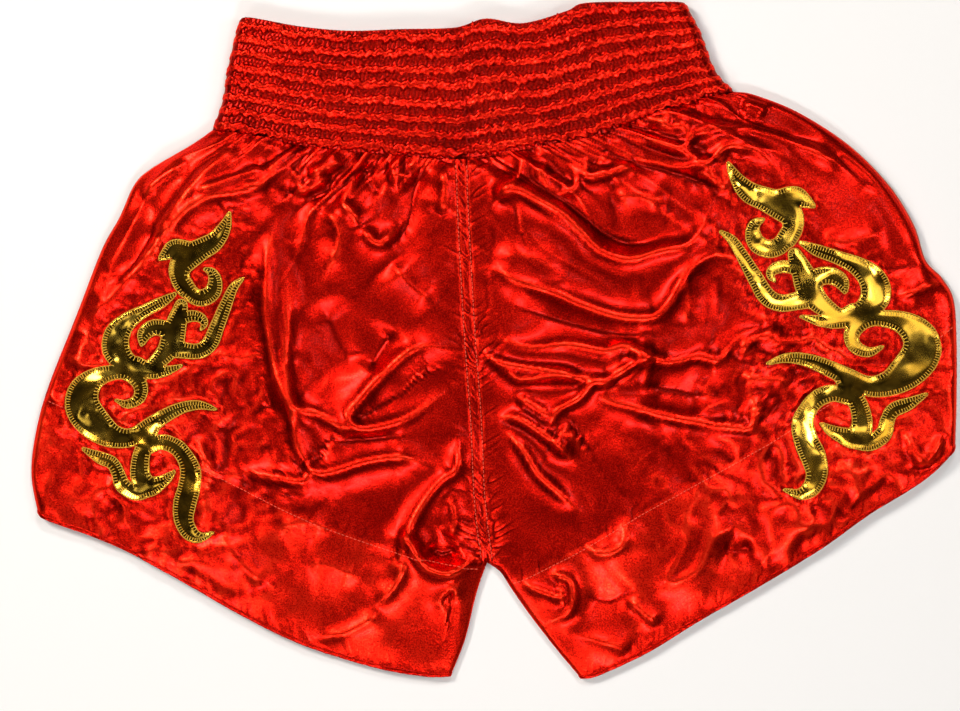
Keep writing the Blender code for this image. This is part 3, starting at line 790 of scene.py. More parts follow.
def pucker(away, along, reach, pitch, seed):
    """Small wrinkles that run into a stitched line and die out away from it."""
    wave = noise(along / pitch, away / (reach * 1.3), seed)
    return fade(away, reach, 1.3) * (np.abs(wave) * 2 - 0.7)


def centre_seam_relief(away, down, side, seed):
    """Ribs between the twin rows of stitches, the rows' own grooves, and puckers outside."""
    lean = 1.2 if side == "left" else -1.2
    strip = smooth((TWIN_ROWS + 0.8 - away) / 1.4)
    ribs = 1 - 2 * np.abs(noise((down + lean * away) / 3.6 + 1.3 * noise(down / 9, 0, 43),
                                away / 5, 41))
    slack = 0.55 + 0.75 * smooth(0.5 + noise(down / 17, 0, 42))
    strength = 0.9 + 0.7 * noise(down / 40, 0, seed + 1)
    puckers = strength * slack * 1.1 * pucker(away, down + 0.4 * away, 10, 4.8, seed + 2)
    return strip * 0.6 * slack * ribs - 0.55 * fade(away - TWIN_ROWS, 0.9, 2) + (1 - strip) * puckers


def waist_gathers(across, down, seed):
    """Gathers under the waistband: the finer they are, the sooner they end."""
    sway = 0.5 * noise(across / 30, down / 34, seed + 6)
    ruched = 1 - 2 * np.abs(noise(across / 8 + sway, down / 60, seed + 4))
    broad = 1 - 2 * np.abs(noise(across / 17 + sway, down / 110, seed + 5))
    fine = np.abs(noise(across / 3.0, down / 20, seed + 16))
    return fade(down, 18, 1.3) * ruched + fade(down, 60, 1.5) * 2.4 * broad + fade(down, 7) * 0.9 * fine


def detail_front(side, points):
    """Adds what is finer than the simulated cells: seams, puckers and stitched pull."""
    half = halves[side]
    seed = SEEDS[side]
    crotch_row, band_row = segment_rows(half)
    seam_column = SIDE_COLUMNS * FINE
    u, v, plan = (refine(grid) for grid in grids[side])
    row = np.arange(len(plan))[:, None]
    x, y = plan[..., 0], plan[..., 1]
    across, down = arc_length(plan, 1), arc_length(plan, 0)
    from_side_seam = np.abs(across - across[:, seam_column:seam_column + 1])
    from_band_seam = np.abs(down - down[band_row:band_row + 1])
    lift = smooth((band_row - row) / 6) * 0.3 * pucker(from_side_seam, down, 7, 5.5, seed)
    lift += smooth((crotch_row - row) / 4 + 1) * centre_seam_relief(across[:, -1:] - across, down, side,
                                                                    seed)
    lift += 0.2 * pucker(from_band_seam, across, 6, 6.5, seed + 3)
    lift += waist_gathers(across, down, seed)
    lift += 0.35 * pucker(down[-1:] - down, across, 8, 4.5, seed + 7)
    # crowns of the folds, and small dents where stitches pull the satin; foil keeps it smooth
    flame = flame_distance(plan, side, UPPER_FLAME + LOWER_SCROLL)
    dents = rumple(x, y, 6.5, seed + 8) + 0.5 * rumple(x, y, 3.6, seed + 9)
    lift += crests(plan) * (0.3 + 0.7 * smooth(flame / 4))
    lift += 0.8 * dents * fade(np.maximum(flame, 0), 9) * smooth(flame / 2.5)
    lift *= smooth(edge_distance(half, u, v, plan) / 6)
    return points + grid_normals(points) * lift[..., None]


def back_layer(side, front):
    """The back of one half: it lies on the table and rolls up to the folded edges."""
    half = halves[side]
    crotch_row, _ = segment_rows(half)
    shares = refine(np.repeat(row_shares(half)[:, None], 2, axis=1))[:, 0]
    roll = np.array([0, .004, .012, .026, .05, .09])
    side_at = np.concatenate([roll, np.linspace(.15, 1, 16)])
    front_at = np.concatenate([np.linspace(0, .86, 20)[1:], 1 - roll[::-1]])
    u, v, plan = grid_at(half, shares, side_at, front_at)
    x, y = plan[..., 0], plan[..., 1]
    wrinkles = 0.9 + 0.7 * noise(x / 22, y / 22, 71) + 0.35 * noise(x / 9, y / 9, 72)
    wrinkles += fade(v, 0.05) * 1.1 * np.abs(noise(arc_length(plan, 1) / 6, v * 8, 73))
    height = 0.35 + np.maximum(wrinkles, 0)
    height = FOLD_HEIGHT + (height - FOLD_HEIGHT) * rolled(edge_distance(half, u, v, plan))
    grid = np.dstack([plan, height])
    grid[:, 0] = front[:, 0]
    grid[crotch_row:, -1] = front[crotch_row:, -1]
    return grid, len(side_at) - 1


def relief_of(grid):
    """From 0 in a hollow to 1 on a crest, by how far the cloth stands out from the cloth round it; it
    sets the painted shade and painted highlight in the satin's colour.
    """
    wide = np.pad(grid, ((1, 1), (1, 1), (0, 0)), mode="reflect", reflect_type="odd")
    around = (wide[2:, 1:-1] + wide[:-2, 1:-1] + wide[1:-1, 2:] + wide[1:-1, :-2]) / 4
    out = ((grid - around) * grid_normals(grid)).sum(axis=2)
    return np.clip(0.5 + out / RELIEF_RANGE, 0, 1)


def with_painted_light(half, grid):
    """A grid with its painted light: its relief, with painted sheen that brightens the leg bands and the
    outer sides, the left side most, and painted shade that darkens the front panels.
    """
    x = grid[..., 0]
    outer = smooth((np.abs(x + 10) - 120) / 90) * np.where(x < 0, 1, 0.3)
    in_band = np.arange(len(grid))[:, None] > segment_rows(half)[1]
    # painted sheen on the leg bands and outer sides, painted shade on the front panels
    return np.dstack([grid, relief_of(grid) + np.where(in_band, 0.22, 0.17 * outer - 0.07)])


# ---- waistband -------------------------------------------------------------------------
BAND_ROW_COUNT = 8
BAND_HEIGHT = 85.0
BAND_WIDTH = 345.0         # of one layer, along the cloth from fold to fold
BAND_LEFT_EDGE = [LEFT_WAIST_CORNER, (-183, 163), (-180, 182), (-176, 200), (-172, 216)]
BAND_RIGHT_EDGE = [RIGHT_WAIST_CORNER, (150.5, 183), (140, 210), (130, 228.5)]
BAND_TOP = [(-172, 216), (-164, 218), (-130, 212), (-97, 209), (-63, 210), (-26, 211), (-5, 217),
            (20, 214), (49, 222), (62, 227.5), (100, 228.5), (130, 228.5)]
WALL_INSET = 2.6           # from the outer wall of the casing to its inner wall
BACK_HEIGHT = 1.0          # of the back of the waistband over the table
BAND_LOFT = 2.4            # how far the waistband stands over the panels
BAND_LAP = 0.045           # how far it laps over their upper edges, as a share of its height
TOP_ROUND = 0.016          # how far its top fold rounds over, as a share of its height
CASING_SEAM_AT = 171       # from the left fold to the seam across the casing
CASING_CLOTH = 0.35
CASING_ROWS = 15           # grid rows to one shirred row
# each layer: whether it is the front, its grid columns, its seed and the share of its relief
CASING_LAYERS = ((True, 640, 21, 1.0), (False, 320, 31, 0.45))
ELASTIC_HALF_WIDTH = 3.3
ELASTIC_THICKNESS = 0.6
ELASTIC_COLUMNS = 200


class Waistband:
    """a runs from the left end (0) to the right end (1), w from the seam (0) to the top (1)."""

    def __init__(self):
        self.left, self.right = halves["left"].waist, halves["right"].waist
        self.left_edge, self.right_edge = Curve(BAND_LEFT_EDGE), Curve(BAND_RIGHT_EDGE)
        self.top = Curve(BAND_TOP)
        width = RIGHT_WAIST_CORNER[0] - LEFT_WAIST_CORNER[0]
        self.centre = (CENTRE_WAIST[0] - LEFT_WAIST_CORNER[0]) / width

    def seam(self, a):
        left = self.left.at(np.clip(a / self.centre, 0, 1))
        right = self.right.at(np.clip((1 - a) / (1 - self.centre), 0, 1))
        return np.where((a <= self.centre)[..., None], left, right)

    def layer(self, columns, rows, front):
        """Grid of the front or back of the band; rows are pairs of w and inset."""
        w, inset = (np.array(r, float)[:, None] for r in zip(*rows))
        even = np.linspace(0, 1, columns + 1)
        share = (even - 0.04 * np.sin(2 * np.pi * even))[None, :]
        a = inset / BAND_WIDTH + share * (1 - 2 * inset / BAND_WIDTH)
        w = w + 0 * a
        spot = coons(a, w, self.left_edge.at, self.right_edge.at, self.seam, self.top.at)
        distance = np.minimum(share, 1 - share) * (BAND_WIDTH - 2 * inset)
        turn = rolled(distance * FOLD_RADIUS / (FOLD_RADIUS - inset))
        loft = 0.5 + BAND_LOFT * smooth((w + BAND_LAP) / 0.12)
        over_fold = front_loft(spot) + loft - inset if front else BACK_HEIGHT + inset - FOLD_HEIGHT
        return np.dstack([spot, FOLD_HEIGHT + over_fold * turn]), a * BAND_WIDTH, w, inset + 0 * a


def shirring(along, w, seed):
    """The gathered satin at a place on the waistband: how far it stands out, in millimetres, and its
    painted light, from 0 to 1: painted highlight on the ruffles and their rims, and painted shade in the
    channels between them, with lighter pleat lines."""
    row = np.clip(np.floor(w * BAND_ROW_COUNT), 0, BAND_ROW_COUNT - 1)
    key = row * 37.7
    pitch = BAND_HEIGHT / BAND_ROW_COUNT
    in_row = (w * BAND_ROW_COUNT - row) * pitch
    # a ruffle of small loops winds along the middle of every row
    wind = (0.6 * np.sin(2 * np.pi * (along / 6.0 + 0.8 * noise(along / 17, key, seed)))
            + 1.2 * noise(along / 7, key, seed + 2) + 0.5 * noise(along / 2.3, key, seed + 3))
    away = in_row - 0.5 * pitch - wind
    loops = np.abs(noise(along / 2.9, key + np.sign(away), seed + 4))
    half = 1.5 + 2.0 * loops + 0.5 * noise(along / 13, key, seed + 5)
    inside = half - np.abs(away)
    tall = 1.9 + 0.7 * noise(along / 9.5, key, seed + 1) + 0.9 * (loops - 0.4)
    ruffle = tall * smooth(inside / 1.6 + 0.6) * (1 - 0.3 * smooth(inside / half))
    # fine pleats run up and down between the ruffles
    lean = 0.5 * noise(along / 8, w * 20, seed + 6)
    pleat = np.abs(np.sin(np.pi * (along / 3.1 + lean + 0.7 * noise(along / 15, key, seed + 7))))
    between = smooth(-inside / 0.8)
    stand = ruffle + between * (0.35 * pleat - 0.45)
    # painted highlight along the rim of each ruffle, painted highlight over the ruffle, and painted shade
    # in the channels, where the pleat lines are painted lighter
    painted_rim_highlight = np.exp(-((inside - 0.3) / 0.55) ** 2)
    mottle = 0.5 + 0.5 * noise(along / 1.7, in_row / 1.7 + key, seed + 9)
    bright = smooth(inside / 0.7 + 0.5) * (0.35 + 0.35 * mottle) + painted_rim_highlight * (0.2 + 0.6 * mottle)
    return stand, np.clip(bright + between * 0.34 * pleat ** 8, 0, 1)


def waistband_casing(look):
    band = Waistband()
    outer_rows = round(BAND_ROW_COUNT * CASING_ROWS * (1 + BAND_LAP))
    rows = [(w, 0.0) for w in np.linspace(-BAND_LAP, 1, outer_rows)]
    for turn in np.linspace(0, np.pi, 7)[1:-1]:
        rows.append((1 + TOP_ROUND * math.sin(turn), WALL_INSET * (1 - math.cos(turn)) / 2))
    rows += [(w, WALL_INSET) for w in np.linspace(1, 0.02, 22)]
    layers = []
    for front, columns, seed, fullness in CASING_LAYERS:
        base, along, w, inset = band.layer(columns, rows, front)
        stand, bright = shirring(along, np.clip(w, 0, 1), seed)
        if front:
            seam = fade(along - CASING_SEAM_AT + 6 * (w - 0.5), 3.5, 2)
            stand = stand * (1 - 0.7 * seam) - 0.3 * seam
            # painted shade along the seam across the casing
            bright = bright * (1 - 0.4 * seam)
        ends = 0.3 + 0.7 * smooth(np.minimum(along, BAND_WIDTH - along) / 9)
        stand = stand * ends * smooth(1 - inset / (WALL_INSET * 0.8)) * fullness
        grid = base + grid_normals(base) * (1 if front else -1) * stand[..., None]
        grid[..., 2] = np.maximum(grid[..., 2], 0.25)
        # each layer carries its painted light; the inner wall gets neither painted shade nor painted
        # highlight
        layers.append(np.dstack([grid, np.where(inset > 0, 0.5, bright)]))
    ahead, behind = layers
    behind[:, 0], behind[:, -1] = ahead[:, 0], ahead[:, -1]
    casing = joined("waistband_casing_satin", [(ahead, True), (behind, False)], CASING_CLOTH, look,
                    "waistband_casing")
    declare([ahead[..., :3], behind[..., :3]])


def waistband_elastic(index, look):
    """A tape inside the casing, along the middle of a shirred row."""
    band = Waistband()
    middle = (index + 0.5) / BAND_ROW_COUNT
    half_width = ELASTIC_HALF_WIDTH / BAND_HEIGHT
    rows = [(middle + half_width * share, WALL_INSET / 2) for share in (-1, -0.5, 0, 0.5, 1)]
    ahead, behind = (band.layer(ELASTIC_COLUMNS, rows, front)[0] for front in (True, False))
    behind[:, 0], behind[:, -1] = ahead[:, 0], ahead[:, -1]
    joined(f"woven_elastic_{index + 1}", [(ahead, True), (behind, False)], ELASTIC_THICKNESS, look,
           f"elastic_{index + 1}")


# ---- hems, threads and foil ------------------------------------------------------------
HEM_HALF_WIDTH = 1.7
HEM_CORNERS = 12           # of its cross-section
FOIL_THICKNESS = 0.3
FOIL_PASSES = 12           # of smoothing, which makes the foil stiffer than the satin under it
STITCH_PITCH = 1.9         # of the border stitches
STITCH_REACH = 2.5         # from the foil's edge into it
STITCH_OUTSIDE = 0.35      # from the foil's edge out to the cord
CORD_LIFT, BAR_LIFT, KNOT_LIFT = 0.55, 1.15, 1.3
BAR_RADIUS, CORD_RADIUS, KNOT_RADIUS = 0.24, 0.32, 0.38
TOPSTITCH_PITCH = 2.9
TOPSTITCH_RADIUS = 0.3
THREAD_CORNERS = 5         # of a thread's cross-section
# rings of a stitch: each one's share of its length, of its radius and of its arch
THREAD_RINGS = [(0.0, 0.35, 0.0), (0.22, 1.0, 0.8), (0.78, 1.0, 0.8), (1.0, 0.35, 0.0)]


def leg_hem(side, front, back, look):
    """The rolled edge of a leg, round the ring where its front and back end."""
    path = np.concatenate([front[-1], back[-1][-2:0:-1]])
    inward = unit(np.concatenate([front[-5], back[-5][-2:0:-1]]) - path)
    up = unit(np.cross(np.roll(path, -1, axis=0) - np.roll(path, 1, axis=0), inward))
    along = np.concatenate([[0], np.cumsum(norm(np.diff(path, axis=0)))])
    thick = 0.55 + 0.18 * noise(along / 3.4, 0, 91) + 0.10 * noise(along / 1.7, 3, 92)
    turns = np.linspace(0, 2 * np.pi, HEM_CORNERS, endpoint=False)
    out, rise = (np.sign(wave) * np.abs(wave) ** 0.7 for wave in (np.cos(turns), np.sin(turns)))
    grid = (path[:, None] + inward[:, None] * HEM_HALF_WIDTH * (1 + out[None, :, None])
            + up[:, None] * rise[None, :, None] * thick[:, None, None])
    grid[..., 2] = np.maximum(grid[..., 2], 0.05)
    grid = np.concatenate([grid, grid[:1]])
    grid = np.concatenate([grid, grid[:, :1]], axis=1)
    return joined(f"{side}_leg_rolled_hem", [(grid, False)], 0, look, f"{side}_leg_hem")


def threads(name, starts, ends, normals, radius, look, arch=0.3):
    """Many short stitches as one piece: each rises a little between its two ends.

    radius is one number, or one for each stitch."""
    radius = np.broadcast_to(radius, len(starts))[:, None, None]
    side = unit(np.cross(unit(ends - starts), normals))
    up = unit(np.cross(side, ends - starts))
    turns = (2 * np.pi * np.arange(THREAD_CORNERS) / THREAD_CORNERS)[None, :, None]
    across = side[:, None] * np.cos(turns) + up[:, None] * np.sin(turns)
    rings = [(starts + (ends - starts) * share + up * arch * rise)[:, None] + radius * thick * across
             for share, thick, rise in THREAD_RINGS]
    points = np.stack(rings, axis=1).reshape(-1, 3)
    numbers = np.arange(len(points)).reshape(len(starts), len(rings), THREAD_CORNERS)
    faces = []
    for stitch in numbers:
        faces += quads(np.hstack([stitch, stitch[:, :1]])).tolist()
        faces += [stitch[0, ::-1].tolist(), stitch[-1].tolist()]
    piece = mesh_object(name, points, faces)
    finish_piece(piece, look)
    return piece


class Draper:
    """Carries plan points of one half onto its draped front."""

    def __init__(self, side, surface):
        self.plan = refine(grids[side][2]).reshape(-1, 2)
        self.points = surface.reshape(-1, 3)
        self.normals = grid_normals(surface).reshape(-1, 3)
        face = quads(np.arange(len(self.points)).reshape(surface.shape[:2]))
        self.triangles = np.vstack([face[:, [0, 1, 2]], face[:, [0, 2, 3]]])
        flat = [(x, y, 0.0) for x, y in self.plan]
        self.tree = BVHTree.FromPolygons(flat, self.triangles.tolist())

    def place(self, plan, lift):
        """Points that stand a lift over the cloth, and its normals there."""
        found = [self.tree.find_nearest((x, y, 0.0)) for x, y in plan]
        corner = self.triangles[np.array([hit[2] for hit in found])]
        spot = np.array([hit[0].xy for hit in found])
        a, b, c = (self.plan[corner[:, k]] for k in range(3))
        ab, ac, ap = b - a, c - a, spot - a
        area = ab[:, 0] * ac[:, 1] - ab[:, 1] * ac[:, 0]
        second = (ap[:, 0] * ac[:, 1] - ap[:, 1] * ac[:, 0]) / area
        third = (ab[:, 0] * ap[:, 1] - ab[:, 1] * ap[:, 0]) / area
        weights = np.stack([1 - second - third, second, third], axis=1)[..., None]
        points = (self.points[corner] * weights).sum(axis=1)
        normals = unit((self.normals[corner] * weights).sum(axis=1))
        return points + normals * np.broadcast_to(lift, len(plan))[:, None], normals


def resample(points, spacing, closed=True):
    """Points at even spacing along a polyline."""
    if closed:
        points = np.vstack([points, points[:1]])
    along = np.concatenate([[0], np.cumsum(norm(np.diff(points, axis=0)))])
    count = max(4, round(along[-1] / spacing))
    at = np.linspace(0, along[-1], count + (0 if closed else 1), endpoint=not closed)
    return np.stack([np.interp(at, along, axis) for axis in points.T], axis=1)


def stiffen(piece):
    """Foil is stiffer than the satin under it, so it bridges what is small."""
    sheet = bmesh.new()
    sheet.from_mesh(piece.data)
    for _ in range(FOIL_PASSES):
        bmesh.ops.smooth_vert(sheet, verts=sheet.verts, factor=0.5, use_axis_z=True)
    sheet.to_mesh(piece.data)
    sheet.free()


def foil_piece(side, part, strokes, draper, look):
    """The foil and the loops of its outline in plan."""
    points, faces, loops = flame_cells(side, strokes)
    depth = -flame_distance(points, side, strokes)
    x, y = points.T
    lift = 0.45 + 0.45 * smooth(depth / 2.6) + 0.3 * noise(x / 13, y / 13, 61) * smooth(depth / 5)
    piece = mesh_object(f"{side}_{part}_gold_foil", draper.place(points, lift)[0], faces)
    stiffen(piece)
    finish_piece(piece, look)
    thicken(piece, FOIL_THICKNESS, -1)
    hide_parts(f"{side}_{part}_foil")
    return piece, loops


def border_stitches(side, part, strokes, loops, draper, look):
    """Blanket stitches round a foil: an edge cord, and at every stitch a bar and a knot."""
    starts, ends, normals, radii = [], [], [], []
    for loop in loops:
        for _ in range(2):
            loop = (np.roll(loop, 1, axis=0) + 2 * loop + np.roll(loop, -1, axis=0)) / 4
        spots = resample(loop, STITCH_PITCH)
        slope = np.stack([flame_distance(spots + step, side, strokes)
                          - flame_distance(spots - step, side, strokes)
                          for step in ((0.6, 0), (0, 0.6))], axis=1)
        inward = -unit(slope)
        depth = -flame_distance(spots + inward * STITCH_REACH, side, strokes)
        bar = STITCH_REACH * np.clip(0.35 + 0.65 * depth / STITCH_REACH, 0.3, 1)[:, None]
        outer, normal = draper.place(spots - inward * STITCH_OUTSIDE, CORD_LIFT)
        inner, _ = draper.place(spots + inward * bar, BAR_LIFT)
        knot, _ = draper.place(spots + inward * (bar - 0.45), KNOT_LIFT)
        beyond, _ = draper.place(spots + inward * (bar + 0.35), KNOT_LIFT)
        starts += [outer, outer, knot]
        ends += [inner, np.roll(outer, -1, axis=0), beyond]
        normals += [normal, normal, normal]
        radii += [np.full(len(spots), radius) for radius in (BAR_RADIUS, CORD_RADIUS, KNOT_RADIUS)]
    return threads(f"{side}_{part}_border_thread", np.vstack(starts), np.vstack(ends),
                   np.vstack(normals), np.concatenate(radii), look)


def topstitch(name, line, draper, look):
    """A row of machine stitches along a plan line, each three quarters of the pitch long."""
    placed, normals = draper.place(resample(line, TOPSTITCH_PITCH / 2, closed=False), 0.25)
    starts = placed[:-1:2]
    ends = starts + (placed[1::2] - starts) * 1.5
    return threads(name, starts, ends, normals[:-1:2], TOPSTITCH_RADIUS, look, arch=0.12)


def seam_rows(half, side):
    """Plan lines of the topstitching: beside the centre seam and under the band seam."""
    v = np.linspace(0.012, CROTCH_AT - 0.01, 120)
    away = -TWIN_ROWS if side == "left" else TWIN_ROWS
    centre = half.inner_edge(v) + (away, 0)
    u = np.linspace(0.012, 0.988, 160)
    below = half.plan(u, half.band_seam(u) + 0.0075)
    return {"centre_seam": centre, "band_seam": below}


def cut_size(layers):
    """Width and length of the cloth that a piece was cut from, and its area, in metres."""
    width = sum(arc_length(grid, 1)[:, -1].max() for grid in layers)
    length = max(arc_length(grid, 0)[-1].max() for grid in layers)
    area = 0.0
    for grid in layers:
        first = np.cross(grid[1:, :-1] - grid[:-1, :-1], grid[:-1, 1:] - grid[:-1, :-1])
        second = np.cross(grid[:-1, 1:] - grid[1:, 1:], grid[1:, :-1] - grid[1:, 1:])
        area += (norm(first) + norm(second)).sum() / 2
    return (float(width * MM), float(length * MM)), float(area * MM * MM)


def declare(layers):
    """Works out the cut size and area of a sheet and keeps neither; layers are the grids that it was cut
    from, one beside the other.
    """
    flat, area = cut_size(layers)


# ---- materials -------------------------------------------------------------------------
class Look:
    """A node material built step by step round one Principled shader."""

    def __init__(self, name, colour, roughness, **sockets):
        self.material = bpy.data.materials.new(name)
        self.material.use_nodes = True
        self.tree = self.material.node_tree
        self.shader = self.tree.nodes["Principled BSDF"]
        self.set(self.shader, {"Base Color": (*colour, 1), "Roughness": roughness, **sockets})
        self.place = self.tree.nodes.new("ShaderNodeTexCoord").outputs["Object"]
        self.normal = None

    @staticmethod
    def set(node, sockets):
        for socket, value in sockets.items():
            node.inputs[socket].default_value = value

    def add(self, kind, **sockets):
        node = self.tree.nodes.new(kind)
        self.set(node, sockets)
        return node

    def noise(self, scale, detail, stretch=(1, 1, 1), rotate=0.0, distortion=0.0):
        """Noise with a feature size of 1/scale metres, longer along a stretched axis."""
        mapping = self.add("ShaderNodeMapping", Scale=stretch, Rotation=(0, 0, rotate))
        self.tree.links.new(self.place, mapping.inputs["Vector"])
        made = self.add("ShaderNodeTexNoise", Scale=scale, Detail=detail, Distortion=distortion)
        self.tree.links.new(mapping.outputs["Vector"], made.inputs["Vector"])
        return made.outputs["Fac"]

    def ramp(self, value, *stops):
        """Colour by value: stops are pairs of a position and a colour, or a grey as one number."""
        made = self.tree.nodes.new("ShaderNodeValToRGB")
        elements = made.color_ramp.elements
        while len(elements) < len(stops):
            elements.new(0.5)
        for element, (position, colour) in zip(elements, stops):
            element.position = position
            element.color = (*colour, 1) if isinstance(colour, tuple) else (colour, colour, colour, 1)
        self.tree.links.new(value, made.inputs["Fac"])
        return made.outputs["Color"]

    def product(self, first, second):
        made = self.tree.nodes.new("ShaderNodeVectorMath")
        made.operation = "MULTIPLY"
        self.tree.links.new(first, made.inputs[0])
        self.tree.links.new(second, made.inputs[1])
        return made.outputs["Vector"]

    def bump(self, value, strength, distance_mm):
        made = self.add("ShaderNodeBump", Strength=strength, Distance=distance_mm * MM)
        self.tree.links.new(value, made.inputs["Height"])
        if self.normal is not None:
            self.tree.links.new(self.normal, made.inputs["Normal"])
        self.normal = made.outputs["Normal"]
        self.tree.links.new(self.normal, self.shader.inputs["Normal"])

    def drive(self, socket, out):
        self.tree.links.new(out, self.shader.inputs[socket])


def satin_look(name, deep, bright, grain):
    """Satin: a broad gloss, a faint tight one on top of it, a sparkle as fine as the weave, and painted
    light in its colour: painted shade in hollows and an orange painted highlight on crests.
    """
    look = Look(name, bright, 0.30, Metallic=0.95)
    look.set(look.shader, {"Specular IOR Level": 1.0, "Specular Tint": (1.0, 0.45, 0.16, 1),
                           "Coat Weight": 0.045, "Coat Roughness": 0.2})
    painted_light = look.add("ShaderNodeAttribute")
    painted_light.attribute_name = "painted_light"
    # painted light: the colour falls to painted shade in hollows and rises to an orange painted highlight
    # on crests
    lit = look.ramp(painted_light.outputs["Fac"], (0.0, (0.36, 0.2, 0.2)), (0.4, (0.88, 0.8, 0.8)),
                    (0.6, (1.15, 1.5, 1.4)), (1.0, (2.0, 4.0, 3.0)))
    tone = look.product(look.ramp(look.noise(38, 2), (0.3, deep), (0.7, bright)), lit)
    sparkle = look.ramp(look.noise(1050, 1), (0.32, (0.6, 0.3, 0.3)), (0.68, (1.35, 2.6, 2.6)))
    look.drive("Base Color", look.product(tone, sparkle))
    look.drive("Roughness", look.ramp(look.noise(60, 3), (0.25, 0.29), (0.75, 0.37)))
    look.bump(look.noise(1100, 2, stretch=(1, 0.6, 1)), grain, 0.30)
    look.bump(look.noise(2200, 1, stretch=(0.35, 1, 1)), grain * 0.6, 0.16)
    return look.material


def foil_look():
    look = Look("gold_foil", (1.0, 0.66, 0.18), 0.10, Metallic=1.0)
    look.drive("Base Color", look.ramp(look.noise(45, 2), (0.35, (0.76, 0.39, 0.03)),
                                       (0.7, (1.0, 0.62, 0.08))))
    look.drive("Roughness", look.ramp(look.noise(120, 3), (0.3, 0.09), (0.8, 0.19)))
    look.bump(look.noise(26, 1, distortion=0.3), 0.8, 3.0)
    return look.material


def thread_look(name, dark, light, metallic, roughness):
    look = Look(name, light, roughness, Metallic=metallic)
    look.set(look.shader, {"Specular IOR Level": 0.25})
    look.drive("Base Color", look.ramp(look.noise(900, 2), (0.3, dark), (0.7, light)))
    look.bump(look.noise(2600, 2, stretch=(1, 0.4, 1), rotate=0.6), 0.5, 0.12)
    return look.material


def elastic_look():
    look = Look("woven_elastic", (0.85, 0.83, 0.78), 0.8)
    look.drive("Base Color", look.ramp(look.noise(500, 3), (0.3, (0.70, 0.68, 0.63)),
                                       (0.7, (0.88, 0.86, 0.82))))
    look.bump(look.noise(1400, 1, stretch=(1, 0.15, 1)), 0.6, 0.3)
    return look.material


# ---- put together ----------------------------------------------------------------------
CLOTH = 0.3                # thickness of the satin

satin = satin_look("red_satin", (0.52, 0.0022, 0.0008), (0.80, 0.005, 0.0018), 0.5)
band_satin = satin_look("red_satin_waistband", (0.50, 0.0022, 0.0008), (0.80, 0.006, 0.002), 0.2)
gold = foil_look()
gold_thread = thread_look("gold_thread", (0.45, 0.24, 0.012), (1.0, 0.68, 0.09), 0.1, 0.40)
red_thread = thread_look("red_thread", (0.90, 0.06, 0.03), (1.0, 0.14, 0.07), 0.0, 0.4)

settled, cut_flat = simulate_front()

for side, half in halves.items():
    flip = side == "left"
    band_row = segment_rows(half)[1]
    seam_column = SIDE_COLUMNS * FINE
    front = detail_front(side, refine(settled[side]))
    back, back_seam = back_layer(side, front)
    draper = Draper(side, front)
    over, under = with_painted_light(half, front), with_painted_light(half, back)

    back_panel = joined(f"back_{side}_satin", [(under[:band_row + 1, back_seam:], not flip)],
                        CLOTH, satin, f"back_{side}_panel")
    panel = joined(f"front_{side}_satin", [(over[:band_row + 1, seam_column:], flip)],
                   CLOTH, satin, f"front_{side}_panel")
    side_panel = joined(f"{side}_side_satin", [(over[:band_row + 1, :seam_column + 1], flip),
                                               (under[:band_row + 1, :back_seam + 1], not flip)],
                        CLOTH, satin, f"{side}_side_panel")
    leg_band = joined(f"{side}_leg_band_satin", [(over[band_row:], flip), (under[band_row:], not flip)],
                      CLOTH, satin, f"{side}_leg_band")
    hem = leg_hem(side, front, back, satin)

    rows = {place: topstitch(f"{side}_{place}_topstitch", line, draper, red_thread)
            for place, line in seam_rows(half, side).items()}
    ornament = []
    for part, strokes in (("upper_flame", UPPER_FLAME), ("lower_scroll", LOWER_SCROLL)):
        foil, loops = foil_piece(side, part, strokes, draper, gold)
        ornament += [foil, border_stitches(side, part, strokes, loops, draper, gold_thread)]

    cut = cut_flat[side]
    cut_band_row = band_row // FINE
    declare([back[:band_row + 1, back_seam:]])
    declare([cut[:cut_band_row + 1, SIDE_COLUMNS:]])
    declare([cut[:cut_band_row + 1, :SIDE_COLUMNS + 1], back[:band_row + 1, :back_seam + 1]])
    declare([cut[cut_band_row:], back[band_row:]])

waistband_casing(band_satin)
woven = elastic_look()
for index in range(BAND_ROW_COUNT):
    waistband_elastic(index, woven)

# ---- floor, light and camera -----------------------------------------------------------
scene = bpy.context.scene
scene.view_settings.view_transform = "Standard"

bpy.ops.mesh.primitive_plane_add(size=8, location=(0, 0, -0.0002))
floor = bpy.context.object
floor.name = "floor"
paper = Look("pale_floor", (0.90, 0.90, 0.90), 0.7)
paper.bump(paper.noise(300, 2), 0.05, 0.1)
floor.data.materials.append(paper.material)


def softbox(name, place, aim, size, power, colour=(1, 1, 1)):
    light = bpy.data.lights.new(name, "AREA")
    light.shape = "RECTANGLE"
    light.size, light.size_y = size
    light.energy = power
    light.color = colour
    lamp = bpy.data.objects.new(name, light)
    lamp.location = place
    lamp.rotation_euler = (Vector(aim) - Vector(place)).to_track_quat("-Z", "Y").to_euler()
    scene.collection.objects.link(lamp)


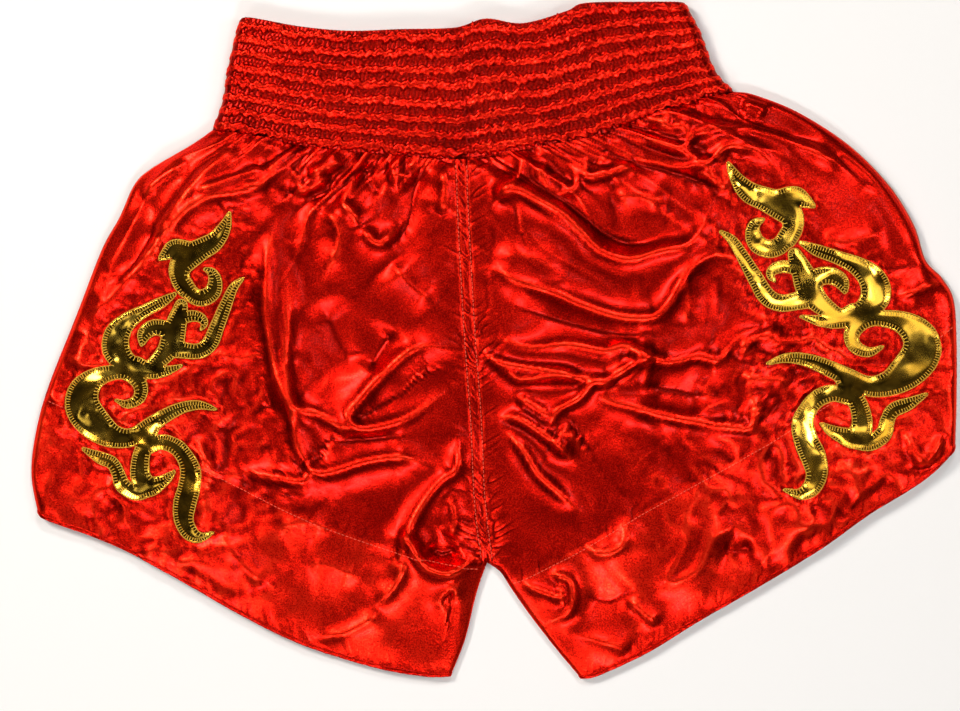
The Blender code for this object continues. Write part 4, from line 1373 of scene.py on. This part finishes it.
# in metres and watts; the lamps stand about 40 degrees off the zenith, and the weak ones over
# the foils are what the gold reflects
softbox("upper_left", (-1.05, 0.75, 1.4), (0, 0, 0), (0.36, 0.40), 22, (1, 0.93, 0.85))
softbox("upper", (0.25, 1.15, 1.4), (0, 0, 0), (0.40, 0.26), 8)
softbox("right", (1.15, 0.10, 1.3), (0, 0, 0), (0.26, 0.40), 5, (1, 0.95, 0.9))
softbox("lower", (0.20, -1.15, 1.4), (0, 0, 0), (0.40, 0.26), 9)
softbox("lower_left", (-0.75, -0.80, 1.4), (-0.2, -0.15, 0), (0.30, 0.30), 4.5, (1, 0.95, 0.9))
softbox("over_right", (0.62, 0.12, 1.7), (0.2, 0, 0), (0.32, 0.46), 0.75, (1, 0.95, 0.85))
softbox("over_right_spot", (0.40, 0.30, 1.7), (0.2, 0, 0), (0.14, 0.24), 1.0)
softbox("over_left", (-0.543, -0.09, 1.7), (-0.27, 0, 0), (0.12, 0.18), 0.10)

world = bpy.data.worlds.new("studio")
scene.world = world
world.use_nodes = True
room = world.node_tree
sky = room.nodes.new("ShaderNodeTexNoise")
sky.inputs["Scale"].default_value = 2.6
sky.inputs["Detail"].default_value = 2.0
walls = room.nodes.new("ShaderNodeValToRGB")
dark, pale = walls.color_ramp.elements
dark.position, dark.color = 0.42, (0.003, 0.003, 0.003, 1)
pale.position, pale.color = 0.68, (0.07, 0.065, 0.06, 1)
room.links.new(room.nodes.new("ShaderNodeTexCoord").outputs["Generated"], sky.inputs["Vector"])
room.links.new(sky.outputs["Fac"], walls.inputs["Fac"])
room.links.new(walls.outputs["Color"], room.nodes["Background"].inputs["Color"])

PICTURE_CENTRE = (-0.0088, -0.0095)
FRAME_WIDTH = 0.648        # metres across the picture at the cloth's height
CLOTH_HEIGHT = 0.010
CAMERA_HEIGHT = 1.6
lens = bpy.data.cameras.new("camera")
lens.sensor_width = 36
lens.lens = lens.sensor_width * (CAMERA_HEIGHT - CLOTH_HEIGHT) / FRAME_WIDTH
camera = bpy.data.objects.new("camera", lens)
camera.location = (*PICTURE_CENTRE, CAMERA_HEIGHT)
scene.collection.objects.link(camera)
scene.camera = camera
